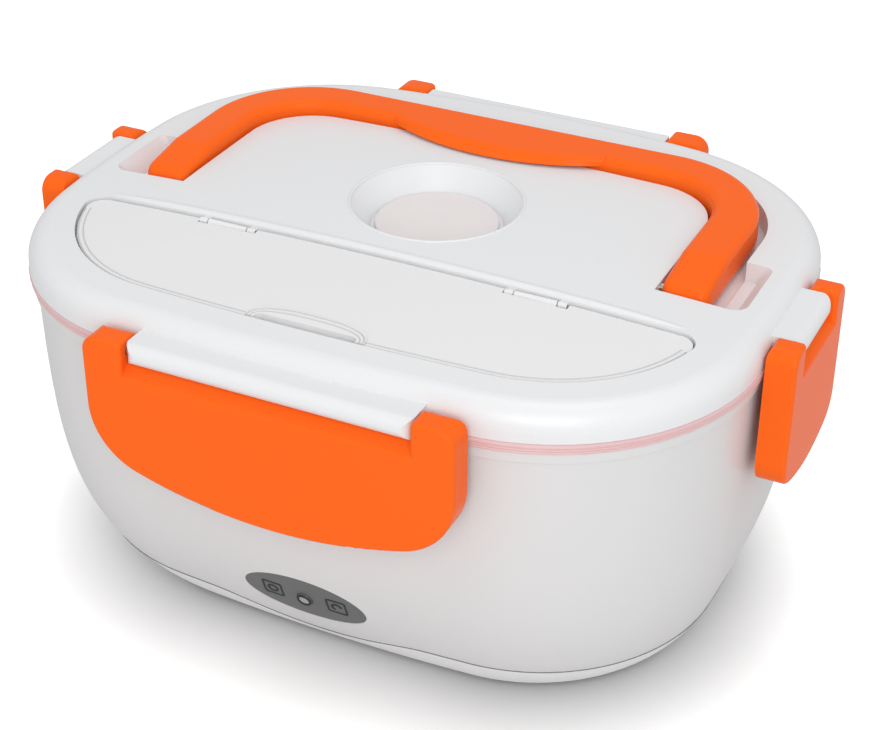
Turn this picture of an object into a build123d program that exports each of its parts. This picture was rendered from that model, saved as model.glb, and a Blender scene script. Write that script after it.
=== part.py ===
from build123d import *
from functools import cache
from math import acos, atan2, cos, hypot, radians, sin, sqrt
import os

# Electric lunch box, millimetres. +X runs along the box, -Y is the front with the indicator
# panel, +Z is up. The origin is on the table, under the middle of the box.

# ---------------------------------------------------------------- driving dimensions
# Plan outline: four bowed sides joined by tangent corner arcs
LID_HALF_X = 105.5
LID_HALF_Y = 82.7
LID_CORNER_R = 59.0
SIDE_BOW_R = 475.0
FRONT_BOW_R = 570.0

# Heights above the table
FOOT_HEIGHT = 1.2
SEAM_Z = 16.0
RIM_Z = 97.6
LID_EDGE_Z = 99.0
CROWN_Z = 110.4
CROWN_R = 1900.0
SHOULDER_R = 6.5

# Housing
RIM_INSET = 0.8
BAND_HEIGHT = 4.6
BAND_STEP = 0.5
BASE_HALF_X = 86.0
BASE_HALF_Y = 54.8
BASE_CORNER_R = 49.0
UPPER_DRAFT = 0.1
CURL_POWER = 4.4
HOUSING_WALL = 2.2
RIM_LIP = 3.0
LOBE_HALF = 34.0
LOBE_DROP = 6.5
CATCH_PROUD = 2.4
CATCH_HEIGHT = 3.0
CATCH_TOP_Z = 93.4
CATCH_MARGIN = 6.0

# Bottom cover, feet and cover screws
COVER_FLOOR = 2.2
LAP_HEIGHT = 3.0
LAP_THICK = 1.4
FOOT_R = 5.5
FOOT_X = 56.0
FOOT_Y = 34.0
FOOT_RECESS = 0.9
COVER_SCREW_X = 73.0
COVER_SCREW_Y = 27.0
BOSS_R = 4.0
SCREW_R = 1.5
SCREW_HEAD_R = 2.8
SCREW_HEAD_THICK = 1.8
SCREW_LENGTH = 12.0
SCREW_SINK = 1.0
SLOT_SHARE = 1.4

# Inner well and hot plate
WELL_WALL = 1.8
FLANGE_THICK = 1.8
WELL_MARGIN = 9.3
WELL_FLOOR_Z = 35.2
WELL_DRAFT = 4.4
PLATE_HALF_X = 66.0
PLATE_HALF_Y = 44.0
PLATE_CORNER_R = 12.0
PLATE_FLANGE = 5.0
PLATE_FLANGE_THICK = 1.2
PLATE_SCREW_LENGTH = 2.4
SMALL_SCREW_R = 1.1
SMALL_HEAD_R = 2.1
SMALL_HEAD_THICK = 1.2
HEATER_LENGTH = 84.0
HEATER_WIDTH = 30.0
HEATER_THICK = 5.6
HEATER_X = -10.0
STRAP_WIDTH = 22.0
STRAP_THICK = 1.2
STRAP_FOOT = 8.0
TERMINAL_LENGTH = 9.0
TERMINAL_WIDTH = 4.8
TERMINAL_THICK = 0.8
THERMOSTAT_X = 49.0
THERMOSTAT_R = 8.0
THERMOSTAT_THICK = 5.2
THERMOSTAT_EAR = 30.0
THERMOSTAT_EAR_WIDTH = 7.0
THERMOSTAT_EAR_THICK = 0.8
FUSE_R = 2.1
FUSE_LENGTH = 11.0
FUSE_X = 49.0
FUSE_Y = 22.0
FUSE_SADDLE_WALL = 1.2

# Indicator panel
PANEL_Z = 27.0
PANEL_HALF_X = 18.5
PANEL_HALF_Z = 8.8
PANEL_TILT = 20.0
PANEL_THICK = 1.2
PANEL_SINK = 0.15
LED_LENS_R = 2.4
LED_LENS_PROUD = 0.4
BOARD_HALF_X = 15.0
BOARD_HALF_Z = 6.0
BOARD_THICK = 1.2
BOARD_GAP = 3.2
LED_BODY = 1.6
STANDOFF_R = 1.8

# Mains inlet at the back
INLET_Z = 24.0
INLET_HALF_X = 12.0
INLET_HALF_Z = 7.4
INLET_DEPTH = 18.0
INLET_FLANGE = 5.5
INLET_FLANGE_THICK = 2.0
SOCKET_HALF_X = 8.3
SOCKET_HALF_Z = 4.4
SOCKET_DEPTH = 13.0
INLET_PIN_SPACING = 8.6
INLET_PIN_R = 1.2
INLET_ROOT_R = 1.5
INLET_PIN_LENGTH = 9.5
INLET_TAIL = 5.0

# Food tray and side dish
TRAY_WALL = 0.8
TRAY_GAP = 3.4
TRAY_RIM = 2.6
TRAY_TOP_Z = 90.0
TRAY_BOTTOM_R = 7.0
DISH_SPLIT_X = 24.0
DISH_DEPTH = 34.0
DISH_WALL = 1.2
DISH_BOTTOM_R = 6.0

# Lid
LID_WALL = 2.2
POCKET_WALL = 1.6
LINER_WALL = 1.6
LINER_INSET = 11.3
LINER_FLOOR_Z = 92.0
GASKET_INSET = 1.4
WELL_Y = 7.7
VENT_TOP_R = 24.5
VENT_FLOOR_R = 18.6
VENT_FLOOR_Z = 102.7
VENT_HOLE_R = 5.0
VENT_PLUG_R = 17.6
VENT_PLUG_THICK = 1.3
VENT_STEM_R = 4.4
VENT_STEM_LENGTH = 8.0

# Utensil compartment, its cover and the spoon
COVER_BACK_Y = -27.5
COVER_INSET = 13.5
COVER_SINK = 0.7
COVER_THICK = 1.6
COVER_SEAT = 4.0
COVER_SEAT_GAP = 0.5
COVER_HINGE_GAP = 1.2
COVER_CORNER_R = 5.0
COMPARTMENT_FLOOR_Z = 97.2
NOTCH_HALF_X = 14.5
NOTCH_DEPTH = 2.4
NOTCH_CORNER_R = 1.5
ARCH_HALF_X = 17.0
ARCH_DEPTH = 6.8
ARCH_CORNER_R = 6.0
ARCH_RISE = 0.7
KNUCKLE_R = 0.95
KNUCKLE_LENGTH = 12.0
KNUCKLE_X = 46.0
LUG_WIDTH = 2.4
COVER_PIN_R = 0.5
SPOON_LENGTH = 134.0
SPOON_BOWL_X = 21.0
SPOON_BOWL_Y = 13.0
SPOON_BOWL_DEPTH = 5.4
SPOON_THICK = 1.8
SPOON_WALL = 1.08
SPOON_NECK_SHARE = 0.7
SPOON_STEPS = ((0.5, 0.0), (0.72, 0.12), (0.88, 0.4), (1.0, 1.0))
SPOON_GRIP = 11.0
SPOON_Y = -47.5
SPOON_X = -68.0

# Carrying handle
HANDLE_HALF_X = 85.7
HANDLE_BACK_Y = 61.0
HANDLE_WIDTH = 13.0
HANDLE_CORNER_R = 33.0
HANDLE_TOP_Z = 113.2
HANDLE_THICK = 10.6
HANDLE_EDGE_R = 2.6
HANDLE_END_R = 4.3
HANDLE_END_SLOPE = 12.0
HANDLE_PIN_R = 1.3
HANDLE_PIN_DEPTH = 9.0
GRIP_HALF_X = 34.0
GRIP_BULGE = 9.0
GRIP_TOP_BULGE = 5.5
GRIP_EDGE_R = 1.8
CHANNEL_OUTER_GAP = 2.6
CHANNEL_INNER_GAP = 1.0
CHANNEL_FLOOR_GAP = 0.8
POCKET_FRONT_Y = -11.0
POCKET_REACH = 10.3
POCKET_FLOOR_GAP = 1.0
POCKET_BACK_Y = 15.0
POCKET_FRONT_R = 4.5
POCKET_BACK_R = 2.2
POCKET_FLOOR_SHARE = 0.5

# Latches
LATCH_DEPTH = 8.1
LATCH_FRONT_HALF = 52.2
LATCH_SIDE_HALF = 22.5
EAR_FRONT_WIDTH = 11.6
EAR_SIDE_WIDTH = 8.4
EAR_TOP_Z = 105.8
EAR_EDGE_R = 2.2
EAR_OUTER_R = 4.5
EAR_INNER_R = 1.5
LATCH_LEDGE_Z = 95.9
LATCH_LEDGE_DEPTH = 3.6
LATCH_LEDGE_FLAT = 1.6
LATCH_BOTTOM_Z = 61.3
LATCH_FRONT_BELLY = 11.0
LATCH_SIDE_BELLY = 5.0
LATCH_FRONT_CORNER_R = 19.0
LATCH_SIDE_CORNER_R = 9.0
LATCH_PLATE_THICK = 2.8
LATCH_FLANGE = 2.4
LATCH_EDGE_R = 1.2
LATCH_PIN_OFFSET = 4.5
LATCH_PIN_Z = 102.0
LATCH_PIN_R = 1.0
LATCH_PIN_LENGTH = 12.0
LATCH_PIN_ANCHOR = 5.0
LATCH_HOOK_THICK = 3.0
LATCH_HOOK_REACH = 1.5
TAB_R = 3.0
TAB_CORNER_R = 3.5
TAB_ROOT = 1.76

# Wires
WIRE_R = 0.9
WIRE_BEND_R = 4.0
WIRE_LOOP = 5.0

# Named clearances
RUNNING_GAP = 0.4
PIN_GAP = 0.15
SEAT_GAP = 0.3
FIT_GAP = 0.1
HOOK_GAP = 0.5
TINY = 0.01
UPRIGHT = 0.9


# ---------------------------------------------------------------- plan outline helpers
def corner_centre(half_x, half_y, corner_r):
    """Centre of the first-quadrant corner arc, tangent to both bowed sides."""
    side = Vector(half_x - SIDE_BOW_R, 0)
    end = Vector(0, half_y - FRONT_BOW_R)
    reach_side = SIDE_BOW_R - corner_r
    reach_end = FRONT_BOW_R - corner_r
    span = end - side
    along = (reach_side**2 - reach_end**2 + span.length**2) / (2 * span.length)
    across = sqrt(reach_side**2 - along**2)
    foot = side + span.normalized() * along
    normal = Vector(-span.Y, span.X).normalized()
    if normal.X + normal.Y < 0:
        normal = normal * -1
    return foot + normal * across


def outline(half_x, half_y, corner_r, z=0.0):
    """Plan outline as a face at height z: eight arcs, symmetric about both axes."""
    centre = corner_centre(half_x, half_y, corner_r)
    side = Vector(half_x - SIDE_BOW_R, 0)
    end = Vector(0, half_y - FRONT_BOW_R)
    on_side = side + (centre - side).normalized() * SIDE_BOW_R
    on_end = end + (centre - end).normalized() * FRONT_BOW_R
    middle = centre + ((on_side - centre) + (on_end - centre)).normalized() * corner_r
    quarter = [on_side, middle, on_end]

    def place(point, sign_x, sign_y):
        return Vector(point.X * sign_x, point.Y * sign_y, z)

    edges = [
        ThreePointArc(place(on_side, 1, -1), Vector(half_x, 0, z), place(on_side, 1, 1)),
        ThreePointArc(*[place(p, 1, 1) for p in quarter]),
        ThreePointArc(place(on_end, 1, 1), Vector(0, half_y, z), place(on_end, -1, 1)),
        ThreePointArc(*[place(p, -1, 1) for p in reversed(quarter)]),
        ThreePointArc(place(on_side, -1, 1), Vector(-half_x, 0, z), place(on_side, -1, -1)),
        ThreePointArc(*[place(p, -1, -1) for p in quarter]),
        ThreePointArc(place(on_end, -1, -1), Vector(0, -half_y, z), place(on_end, 1, -1)),
        ThreePointArc(*[place(p, 1, -1) for p in reversed(quarter)]),
    ]
    return make_face(edges)


def prism(half_x, half_y, corner_r, low, high):
    """Upright solid on the plan outline between two heights."""
    return extrude(outline(half_x, half_y, corner_r, low), high - low, dir=(0, 0, 1))


def lid_prism(inset, low, high):
    """Upright solid a given distance inside the lid's plan outline."""
    return prism(LID_HALF_X - inset, LID_HALF_Y - inset, LID_CORNER_R - inset, low, high)


def slab(x0, x1, y0, y1, z0, z1):
    """Box between two corners."""
    centre = Location(((x0 + x1) / 2, (y0 + y1) / 2, (z0 + z1) / 2))
    return centre * Box(abs(x1 - x0), abs(y1 - y0), abs(z1 - z0))


def pillar(x, y, radius, low, high):
    """Upright cylinder between two heights."""
    return Location((x, y, (low + high) / 2)) * Cylinder(radius, high - low)


def rod(x0, x1, y, z, radius):
    """Cylinder along X."""
    return Location(((x0 + x1) / 2, y, z)) * Cylinder(radius, abs(x1 - x0), rotation=(0, 90, 0))


def four_corners(x, y):
    """The four mirrored places of a point."""
    return [(sx * x, sy * y) for sx in (-1, 1) for sy in (-1, 1)]


def fuse(shapes):
    """One shape out of many."""
    result = shapes[0]
    for shape in shapes[1:]:
        result = result + shape
    return result


# ---------------------------------------------------------------- housing form
WALL_HALF_X = LID_HALF_X - RIM_INSET - BAND_STEP
WALL_HALF_Y = LID_HALF_Y - RIM_INSET - BAND_STEP
WALL_CORNER_R = LID_CORNER_R - RIM_INSET - BAND_STEP
HUGE = 4 * LID_HALF_X
BODY_STATIONS = (0.0, 0.3, 0.52, 0.68, 0.8, 0.9, 0.96, 1.0)


def body_size(z):
    """Half sizes and corner radius of the housing's outer wall at a height."""
    drop = (RIM_Z - z) / RIM_Z
    share = UPPER_DRAFT * drop + (1 - UPPER_DRAFT) * drop**CURL_POWER
    half_x = WALL_HALF_X - (WALL_HALF_X - BASE_HALF_X) * share
    half_y = WALL_HALF_Y - (WALL_HALF_Y - BASE_HALF_Y) * share
    corner = WALL_CORNER_R - (WALL_CORNER_R - BASE_CORNER_R) * share
    return half_x, half_y, corner


@cache
def body_form(inset):
    """Bowl-shaped solid from the table to the rim, a given distance inside the outer wall."""
    sections = []
    for station in BODY_STATIONS:
        z = RIM_Z * (1 - station)
        half_x, half_y, corner = body_size(z)
        sections.append(outline(half_x - inset, half_y - inset, corner - inset, z))
    return loft(sections)


def bump(half, depth):
    """Plan of a smooth swelling on the line y = 0 that reaches -depth at the middle."""
    start = Vector(-half, 0)
    finish = Vector(half, 0)
    curve = Spline(start, Vector(0, -depth), finish, tangents=[(1, 0), (1, 0), (1, 0)])
    return make_face([curve, Line(finish, start)])


def below_seam():
    """Space under the seam, with the housing's lobe at the front centre left out."""
    low = slab(-HUGE, HUGE, -HUGE, HUGE, -HUGE, SEAM_Z)
    lobe = Plane.XZ * (Location((0, SEAM_Z)) * bump(LOBE_HALF, LOBE_DROP))
    return low - extrude(lobe, HUGE)


def around(shape, side):
    """Turn a shape made for the front so that it faces another side."""
    return Location((0, 0, 0), (0, 0, TURNS[side])) * shape


class Side:
    """Sizes that a latch and its catch follow on one side of the box."""

    def __init__(self, name):
        long_side = name in ("front", "back")
        self.name = name
        self.lid_half = LID_HALF_Y if long_side else LID_HALF_X
        self.body_half = body_size(CATCH_TOP_Z)[1 if long_side else 0]
        self.half = LATCH_FRONT_HALF if long_side else LATCH_SIDE_HALF
        self.ear = EAR_FRONT_WIDTH if long_side else EAR_SIDE_WIDTH
        self.belly = LATCH_FRONT_BELLY if long_side else LATCH_SIDE_BELLY
        self.corner = LATCH_FRONT_CORNER_R if long_side else LATCH_SIDE_CORNER_R
        self.tab_half = self.half - self.ear - RUNNING_GAP
        self.catch_half = self.half - self.ear - CATCH_MARGIN
        self.bow = FRONT_BOW_R if long_side else SIDE_BOW_R
        self.outer = self.lid_half + RUNNING_GAP + LATCH_DEPTH
        self.pin_y = -(self.lid_half + LATCH_PIN_OFFSET)
        self.root = TAB_ROOT + self.tab_half**2 / (2 * self.bow)


# ---------------------------------------------------------------- derived places
TURNS = {"front": 0, "right": 90, "back": 180, "left": 270}
SIDES = [Side(name) for name in TURNS]
RIM_HALF_X = LID_HALF_X - RIM_INSET
RIM_HALF_Y = LID_HALF_Y - RIM_INSET
RIM_CORNER_R = LID_CORNER_R - RIM_INSET
COVER_FLOOR_TOP = FOOT_HEIGHT + COVER_FLOOR
WELL_FLOOR_TOP = WELL_FLOOR_Z + WELL_WALL
PLATE_TOP_Z = WELL_FLOOR_TOP + PLATE_FLANGE_THICK
TRAY_BOTTOM_Z = PLATE_TOP_Z + SEAT_GAP
HANDLE_BOTTOM_Z = HANDLE_TOP_Z - HANDLE_THICK
PIVOT_Z = HANDLE_BOTTOM_Z + HANDLE_END_R
PIVOT_Y = POCKET_FRONT_Y + POCKET_FLOOR_GAP + HANDLE_END_R
ARM_INNER_X = HANDLE_HALF_X - HANDLE_WIDTH
GRIP_LOW_Z = CROWN_Z + SEAT_GAP
INLET_FACE_Y = body_size(INLET_Z)[1]
COVER_HINGE_Y = COVER_BACK_Y - COVER_HINGE_GAP
VENT_PLUG_Z = VENT_FLOOR_Z + SEAT_GAP
LATCH_PLATE_TOP_Z = LATCH_PIN_Z - TAB_R - RUNNING_GAP


def dome_z(x, y, sink=0.0):
    """Height of the lid's crown, or of a surface a given distance under it."""
    return CROWN_Z - CROWN_R + sqrt((CROWN_R - sink)**2 - x**2 - y**2)


COVER_HINGE_Z = dome_z(0, COVER_HINGE_Y, COVER_SINK + COVER_THICK / 2)


@cache
def crown(sink):
    """Ball whose top is the lid's crown, or a surface a given distance under it."""
    return Location((0, 0, CROWN_Z - CROWN_R)) * Sphere(CROWN_R - sink)


# ---------------------------------------------------------------- base: housing
def catch_bar(side):
    """Ridge under the rim that a latch hooks under."""
    low = CATCH_TOP_Z - CATCH_HEIGHT
    reach = side.body_half + CATCH_PROUD
    sag = side.catch_half**2 / (2 * side.bow)
    root = side.body_half - sag - HOUSING_WALL / 2
    bar = slab(-side.catch_half, side.catch_half, -reach, -root, low, CATCH_TOP_Z)
    outer_edges = bar.edges().filter_by(Axis.X).group_by(Axis.Y)[0]
    return around(fillet(outer_edges, CATCH_HEIGHT / 4), side.name)


def panel_plug(margin, reach):
    """Oval bar along the indicator panel's normal, through the wall."""
    face_y = -body_size(PANEL_Z)[1]
    seat = Location((0, face_y, PANEL_Z), (90 + PANEL_TILT, 0, 0))
    oval = seat * Ellipse(PANEL_HALF_X + margin, PANEL_HALF_Z + margin)
    return extrude(oval, reach, both=True)


def panel_bar(x, z, radius, start, stop):
    """Round bar along the panel's normal, from one depth behind its face to another."""
    face_y = -body_size(PANEL_Z)[1]
    seat = Location((0, face_y, PANEL_Z), (90 + PANEL_TILT, 0, 0))
    centre = Location((x, z, -(start + stop) / 2))
    return seat * centre * Cylinder(radius, abs(stop - start))


def panel_box(half_x, half_z, start, stop):
    """Box along the panel's normal, from one depth behind its face to another."""
    face_y = -body_size(PANEL_Z)[1]
    seat = Location((0, face_y, PANEL_Z), (90 + PANEL_TILT, 0, 0))
    centre = Location((0, 0, -(start + stop) / 2))
    return seat * centre * Box(2 * half_x, 2 * half_z, abs(stop - start))


def well_half(z):
    """Half sizes of the well's inner wall at a height."""
    share = (RIM_Z - z) / (RIM_Z - WELL_FLOOR_TOP)
    inset = WELL_MARGIN + WELL_DRAFT * share
    return RIM_HALF_X - inset, RIM_HALF_Y - inset, RIM_CORNER_R - inset


def well_form(inset, low, high):
    """Tapered solid a given distance inside the well's inner wall."""
    sections = []
    for z in (low, high):
        half_x, half_y, corner = well_half(z)
        sections.append(outline(half_x - inset, half_y - inset, corner - inset, z))
    return loft(sections, ruled=True)


def outer_housing():
    """Bowl-shaped casing with rim band, well ledge, latch catches, panel seat and inlet window."""
    shell = body_form(0) - body_form(HOUSING_WALL) - below_seam()
    flange_low = RIM_Z - FLANGE_THICK
    band = prism(RIM_HALF_X, RIM_HALF_Y, RIM_CORNER_R, RIM_Z - BAND_HEIGHT, RIM_Z)
    lip = RIM_LIP
    band = band - prism(RIM_HALF_X - lip, RIM_HALF_Y - lip, RIM_CORNER_R - lip, flange_low, RIM_Z)
    half_x, half_y, corner = [size + WELL_WALL + SEAT_GAP for size in well_half(RIM_Z)]
    band = band - prism(half_x, half_y, corner, RIM_Z - BAND_HEIGHT, RIM_Z)
    housing = shell + band
    for side in SIDES:
        housing = housing + catch_bar(side)
    seat = panel_plug(FIT_GAP, 2 * HOUSING_WALL) - body_form(PANEL_SINK + PANEL_THICK)
    housing = housing - seat
    housing = housing - panel_bar(0, 0, LED_LENS_R + SEAT_GAP, -HOUSING_WALL, 3 * HOUSING_WALL)
    window_x = INLET_HALF_X + FIT_GAP
    window_z = INLET_HALF_Z + FIT_GAP
    window = slab(-window_x, window_x, 0, HUGE, INLET_Z - window_z, INLET_Z + window_z)
    return housing - window


def bottom_cover():
    """Skirt and floor under the housing, with a lap inside the wall, screw holes and foot seats."""
    shell = body_form(0) - body_form(HOUSING_WALL)
    skirt = (shell & below_seam()) - slab(-HUGE, HUGE, -HUGE, HUGE, -HUGE, FOOT_HEIGHT)
    floor = body_form(HOUSING_WALL / 2) & slab(-HUGE, HUGE, -HUGE, HUGE, FOOT_HEIGHT, COVER_FLOOR_TOP)
    lap = body_form(HOUSING_WALL + FIT_GAP) - body_form(HOUSING_WALL + FIT_GAP + LAP_THICK)
    lap_low = SEAM_Z - LOBE_DROP - LAP_HEIGHT
    lap = lap & slab(-HUGE, HUGE, -HUGE, HUGE, lap_low, SEAM_Z + LAP_HEIGHT)
    lap = lap - slab(-LOBE_HALF, LOBE_HALF, -HUGE, 0, SEAM_Z - LOBE_DROP, HUGE)
    key = body_form(HOUSING_WALL / 2) - body_form(HOUSING_WALL + FIT_GAP + LAP_THICK)
    key = key & slab(-HUGE, HUGE, -HUGE, HUGE, lap_low, SEAM_Z - LOBE_DROP)
    cover = skirt + floor + key + lap
    window_x = INLET_HALF_X + INLET_FLANGE + RUNNING_GAP
    cover = cover - slab(-window_x, window_x, 0, HUGE, SEAM_Z, HUGE)
    for x, y in four_corners(COVER_SCREW_X, COVER_SCREW_Y):
        cover = cover - pillar(x, y, SCREW_R + FIT_GAP, -1, COVER_FLOOR_TOP + 1)
        cover = cover - pillar(x, y, SCREW_HEAD_R + FIT_GAP, -1, FOOT_HEIGHT + SCREW_SINK)
    for x, y in four_corners(FOOT_X, FOOT_Y):
        cover = cover - pillar(x, y, FOOT_R + FIT_GAP, -1, FOOT_HEIGHT + FOOT_RECESS)
    return cover


def rubber_feet():
    """Four round pads set in the bottom cover."""
    feet = []
    for x, y in four_corners(FOOT_X, FOOT_Y):
        pad = pillar(x, y, FOOT_R, 0, FOOT_HEIGHT + FOOT_RECESS)
        feet.append(fillet(pad.edges().group_by(Axis.Z)[0], FOOT_HEIGHT / 3))
    return feet


def screw(radius, length, head_r, head_thick):
    """Pan-head screw pointing up, with its head under z = 0 and a cross slot in it."""
    head = Location((0, 0, -head_thick / 2)) * Cylinder(head_r, head_thick)
    head = fillet(head.edges().group_by(Axis.Z)[0], head_thick / 3)
    shank = Location((0, 0, length / 2)) * Cylinder(radius, length)
    slot = Box(SLOT_SHARE * head_r, head_r / 4, head_thick)
    cross = slot + Location((0, 0, 0), (0, 0, 90)) * slot
    return head + shank - Location((0, 0, -head_thick)) * cross


def cover_screws():
    """Four screws that hold the bottom cover to the well's posts."""
    shape = screw(SCREW_R, SCREW_LENGTH, SCREW_HEAD_R, SCREW_HEAD_THICK)
    head_z = FOOT_HEIGHT + SCREW_SINK
    places = four_corners(COVER_SCREW_X, COVER_SCREW_Y)
    return [Location((x, y, head_z)) * shape for x, y in places]


# ---------------------------------------------------------------- base: well and hot plate
def inner_well():
    """Food well with a rim flange, a window for the hot plate and posts for the cover screws."""
    outer = well_form(-WELL_WALL, WELL_FLOOR_Z, RIM_Z)
    well = outer - well_form(0, WELL_FLOOR_TOP, RIM_Z)
    lip = RIM_LIP + FIT_GAP
    flange = prism(RIM_HALF_X - lip, RIM_HALF_Y - lip, RIM_CORNER_R - lip, RIM_Z - FLANGE_THICK, RIM_Z)
    half_x, half_y, corner = well_half(RIM_Z)
    well = well + (flange - prism(half_x, half_y, corner, 0, RIM_Z))
    for x, y in four_corners(COVER_SCREW_X, COVER_SCREW_Y):
        post = pillar(x, y, BOSS_R, COVER_FLOOR_TOP + FIT_GAP, WELL_FLOOR_Z + WELL_WALL / 2)
        well = well + post
        well = well - pillar(x, y, SCREW_R, 0, COVER_FLOOR_TOP + SCREW_LENGTH)
    window_x = PLATE_HALF_X + FIT_GAP
    window_y = PLATE_HALF_Y + FIT_GAP
    window = RectangleRounded(2 * window_x, 2 * window_y, PLATE_CORNER_R)
    well = well - Location((0, 0, WELL_FLOOR_Z)) * extrude(window, WELL_WALL)
    for x, y in plate_screw_places():
        well = well - pillar(x, y, SMALL_SCREW_R + FIT_GAP, WELL_FLOOR_Z, WELL_FLOOR_TOP)
    return well


def plate_screw_places():
    """Places of the screws through the well floor into the hot plate's flange."""
    return four_corners(PLATE_HALF_X + PLATE_FLANGE / 2, PLATE_HALF_Y / 2)


def heating_plate():
    """Aluminium hot plate in the well's floor, with a flange resting on the floor."""
    core = RectangleRounded(2 * PLATE_HALF_X, 2 * PLATE_HALF_Y, PLATE_CORNER_R)
    flange_x = PLATE_HALF_X + PLATE_FLANGE
    flange_y = PLATE_HALF_Y + PLATE_FLANGE
    flange = RectangleRounded(2 * flange_x, 2 * flange_y, PLATE_CORNER_R + PLATE_FLANGE)
    plate = Location((0, 0, WELL_FLOOR_Z)) * extrude(core, PLATE_TOP_Z - WELL_FLOOR_Z)
    rim = Location((0, 0, WELL_FLOOR_TOP)) * extrude(flange, PLATE_FLANGE_THICK)
    plate = plate + fillet(rim.edges().group_by(Axis.Z)[-1], PLATE_FLANGE_THICK / 2)
    for x, y in plate_screw_places():
        plate = plate - pillar(x, y, SMALL_SCREW_R, WELL_FLOOR_Z, WELL_FLOOR_Z + PLATE_SCREW_LENGTH)
    for x, y in under_plate_screws():
        plate = plate - pillar(x, y, SMALL_SCREW_R, WELL_FLOOR_Z, WELL_FLOOR_Z + PLATE_SCREW_LENGTH)
    return plate


def small_screws(places, z):
    """Small screws pointing up with their heads under a height."""
    shape = screw(SMALL_SCREW_R, PLATE_SCREW_LENGTH, SMALL_HEAD_R, SMALL_HEAD_THICK)
    return [Location((x, y, z)) * shape for x, y in places]


def strap_screw_places():
    """Places of the two screws of the heater strap."""
    reach = HEATER_WIDTH / 2 + STRAP_THICK + STRAP_FOOT / 2
    return [(HEATER_X, -reach), (HEATER_X, reach)]


def thermostat_screw_places():
    """Places of the two screws of the thermostat's ears."""
    reach = THERMOSTAT_EAR / 2 - THERMOSTAT_EAR_WIDTH / 2
    return [(THERMOSTAT_X, -reach), (THERMOSTAT_X, reach)]


def under_plate_screws():
    """Places of every screw that goes up into the underside of the hot plate."""
    return strap_screw_places() + thermostat_screw_places()


def plate_screws():
    """Four screws that hold the hot plate's flange to the well."""
    return small_screws(plate_screw_places(), WELL_FLOOR_Z)


def heater_screws():
    """Screws of the heater strap and of the thermostat."""
    strap = small_screws(strap_screw_places(), WELL_FLOOR_Z - STRAP_THICK)
    return strap + small_screws(thermostat_screw_places(), WELL_FLOOR_Z - THERMOSTAT_EAR_THICK)


def ptc_heater():
    """Flat heating element under the plate, with a terminal at each end."""
    low = WELL_FLOOR_Z - HEATER_THICK
    half = HEATER_LENGTH / 2
    body = slab(HEATER_X - half, HEATER_X + half, -HEATER_WIDTH / 2, HEATER_WIDTH / 2, low, WELL_FLOOR_Z)
    body = fillet(body.edges().filter_by(Axis.X).group_by(Axis.Z)[0], HEATER_THICK / 5)
    blade_z = low + HEATER_THICK / 2
    for end in (-1, 1):
        start = HEATER_X + end * half
        stop = start + end * TERMINAL_LENGTH
        half_w = TERMINAL_WIDTH / 2
        body = body + slab(start, stop, -half_w, half_w, blade_z, blade_z + TERMINAL_THICK)
    return body


def heater_strap():
    """Spring-steel strap that presses the heating element against the plate."""
    low = WELL_FLOOR_Z - HEATER_THICK
    half_w = STRAP_WIDTH / 2
    inner = HEATER_WIDTH / 2
    outer = inner + STRAP_THICK
    x0 = HEATER_X - half_w
    x1 = HEATER_X + half_w
    strap = slab(x0, x1, -outer, outer, low - STRAP_THICK, low)
    for end in (-1, 1):
        strap = strap + slab(x0, x1, end * inner, end * outer, low - STRAP_THICK, WELL_FLOOR_Z)
        foot = end * (outer + STRAP_FOOT)
        strap = strap + slab(x0, x1, end * inner, foot, WELL_FLOOR_Z - STRAP_THICK, WELL_FLOOR_Z)
    for x, y in strap_screw_places():
        strap = strap - pillar(x, y, SMALL_SCREW_R + FIT_GAP, low, WELL_FLOOR_Z)
    return strap


def thermostat():
    """Disc thermostat with two ears and two blades."""
    low = WELL_FLOOR_Z - THERMOSTAT_THICK
    body = pillar(THERMOSTAT_X, 0, THERMOSTAT_R, low, WELL_FLOOR_Z)
    half = THERMOSTAT_EAR / 2
    half_w = THERMOSTAT_EAR_WIDTH / 2
    ear_low = WELL_FLOOR_Z - THERMOSTAT_EAR_THICK
    body = body + slab(THERMOSTAT_X - half_w, THERMOSTAT_X + half_w, -half, half, ear_low, WELL_FLOOR_Z)
    for x, y in thermostat_screw_places():
        body = body - pillar(x, y, SMALL_SCREW_R + FIT_GAP, ear_low, WELL_FLOOR_Z)
    half_t = TERMINAL_THICK / 2
    for x in (THERMOSTAT_X - THERMOSTAT_R / 2, THERMOSTAT_X + THERMOSTAT_R / 2):
        blade = slab(x - half_t, x + half_t, -half_w / 2, half_w / 2, low - TERMINAL_LENGTH / 2, low)
        body = body + blade
    return body


def thermal_fuse():
    """Small sealed fuse lying under the hot plate."""
    z = WELL_FLOOR_Z - FUSE_SADDLE_WALL - FUSE_R
    half = FUSE_LENGTH / 2
    return fillet(rod(FUSE_X - half, FUSE_X + half, FUSE_Y, z, FUSE_R).edges(), FUSE_R / 3)


def fuse_saddle():
    """Heat-proof sleeve that holds the fuse against the plate."""
    z = WELL_FLOOR_Z - FUSE_SADDLE_WALL - FUSE_R
    half = FUSE_LENGTH / 3
    width = FUSE_R + FUSE_SADDLE_WALL
    block = slab(FUSE_X - half, FUSE_X + half, FUSE_Y - width, FUSE_Y + width, z - FUSE_R, WELL_FLOOR_Z)
    block = block + rod(FUSE_X - half, FUSE_X + half, FUSE_Y, z, width)
    return block - rod(FUSE_X - half, FUSE_X + half, FUSE_Y, z, FUSE_R)


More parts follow.
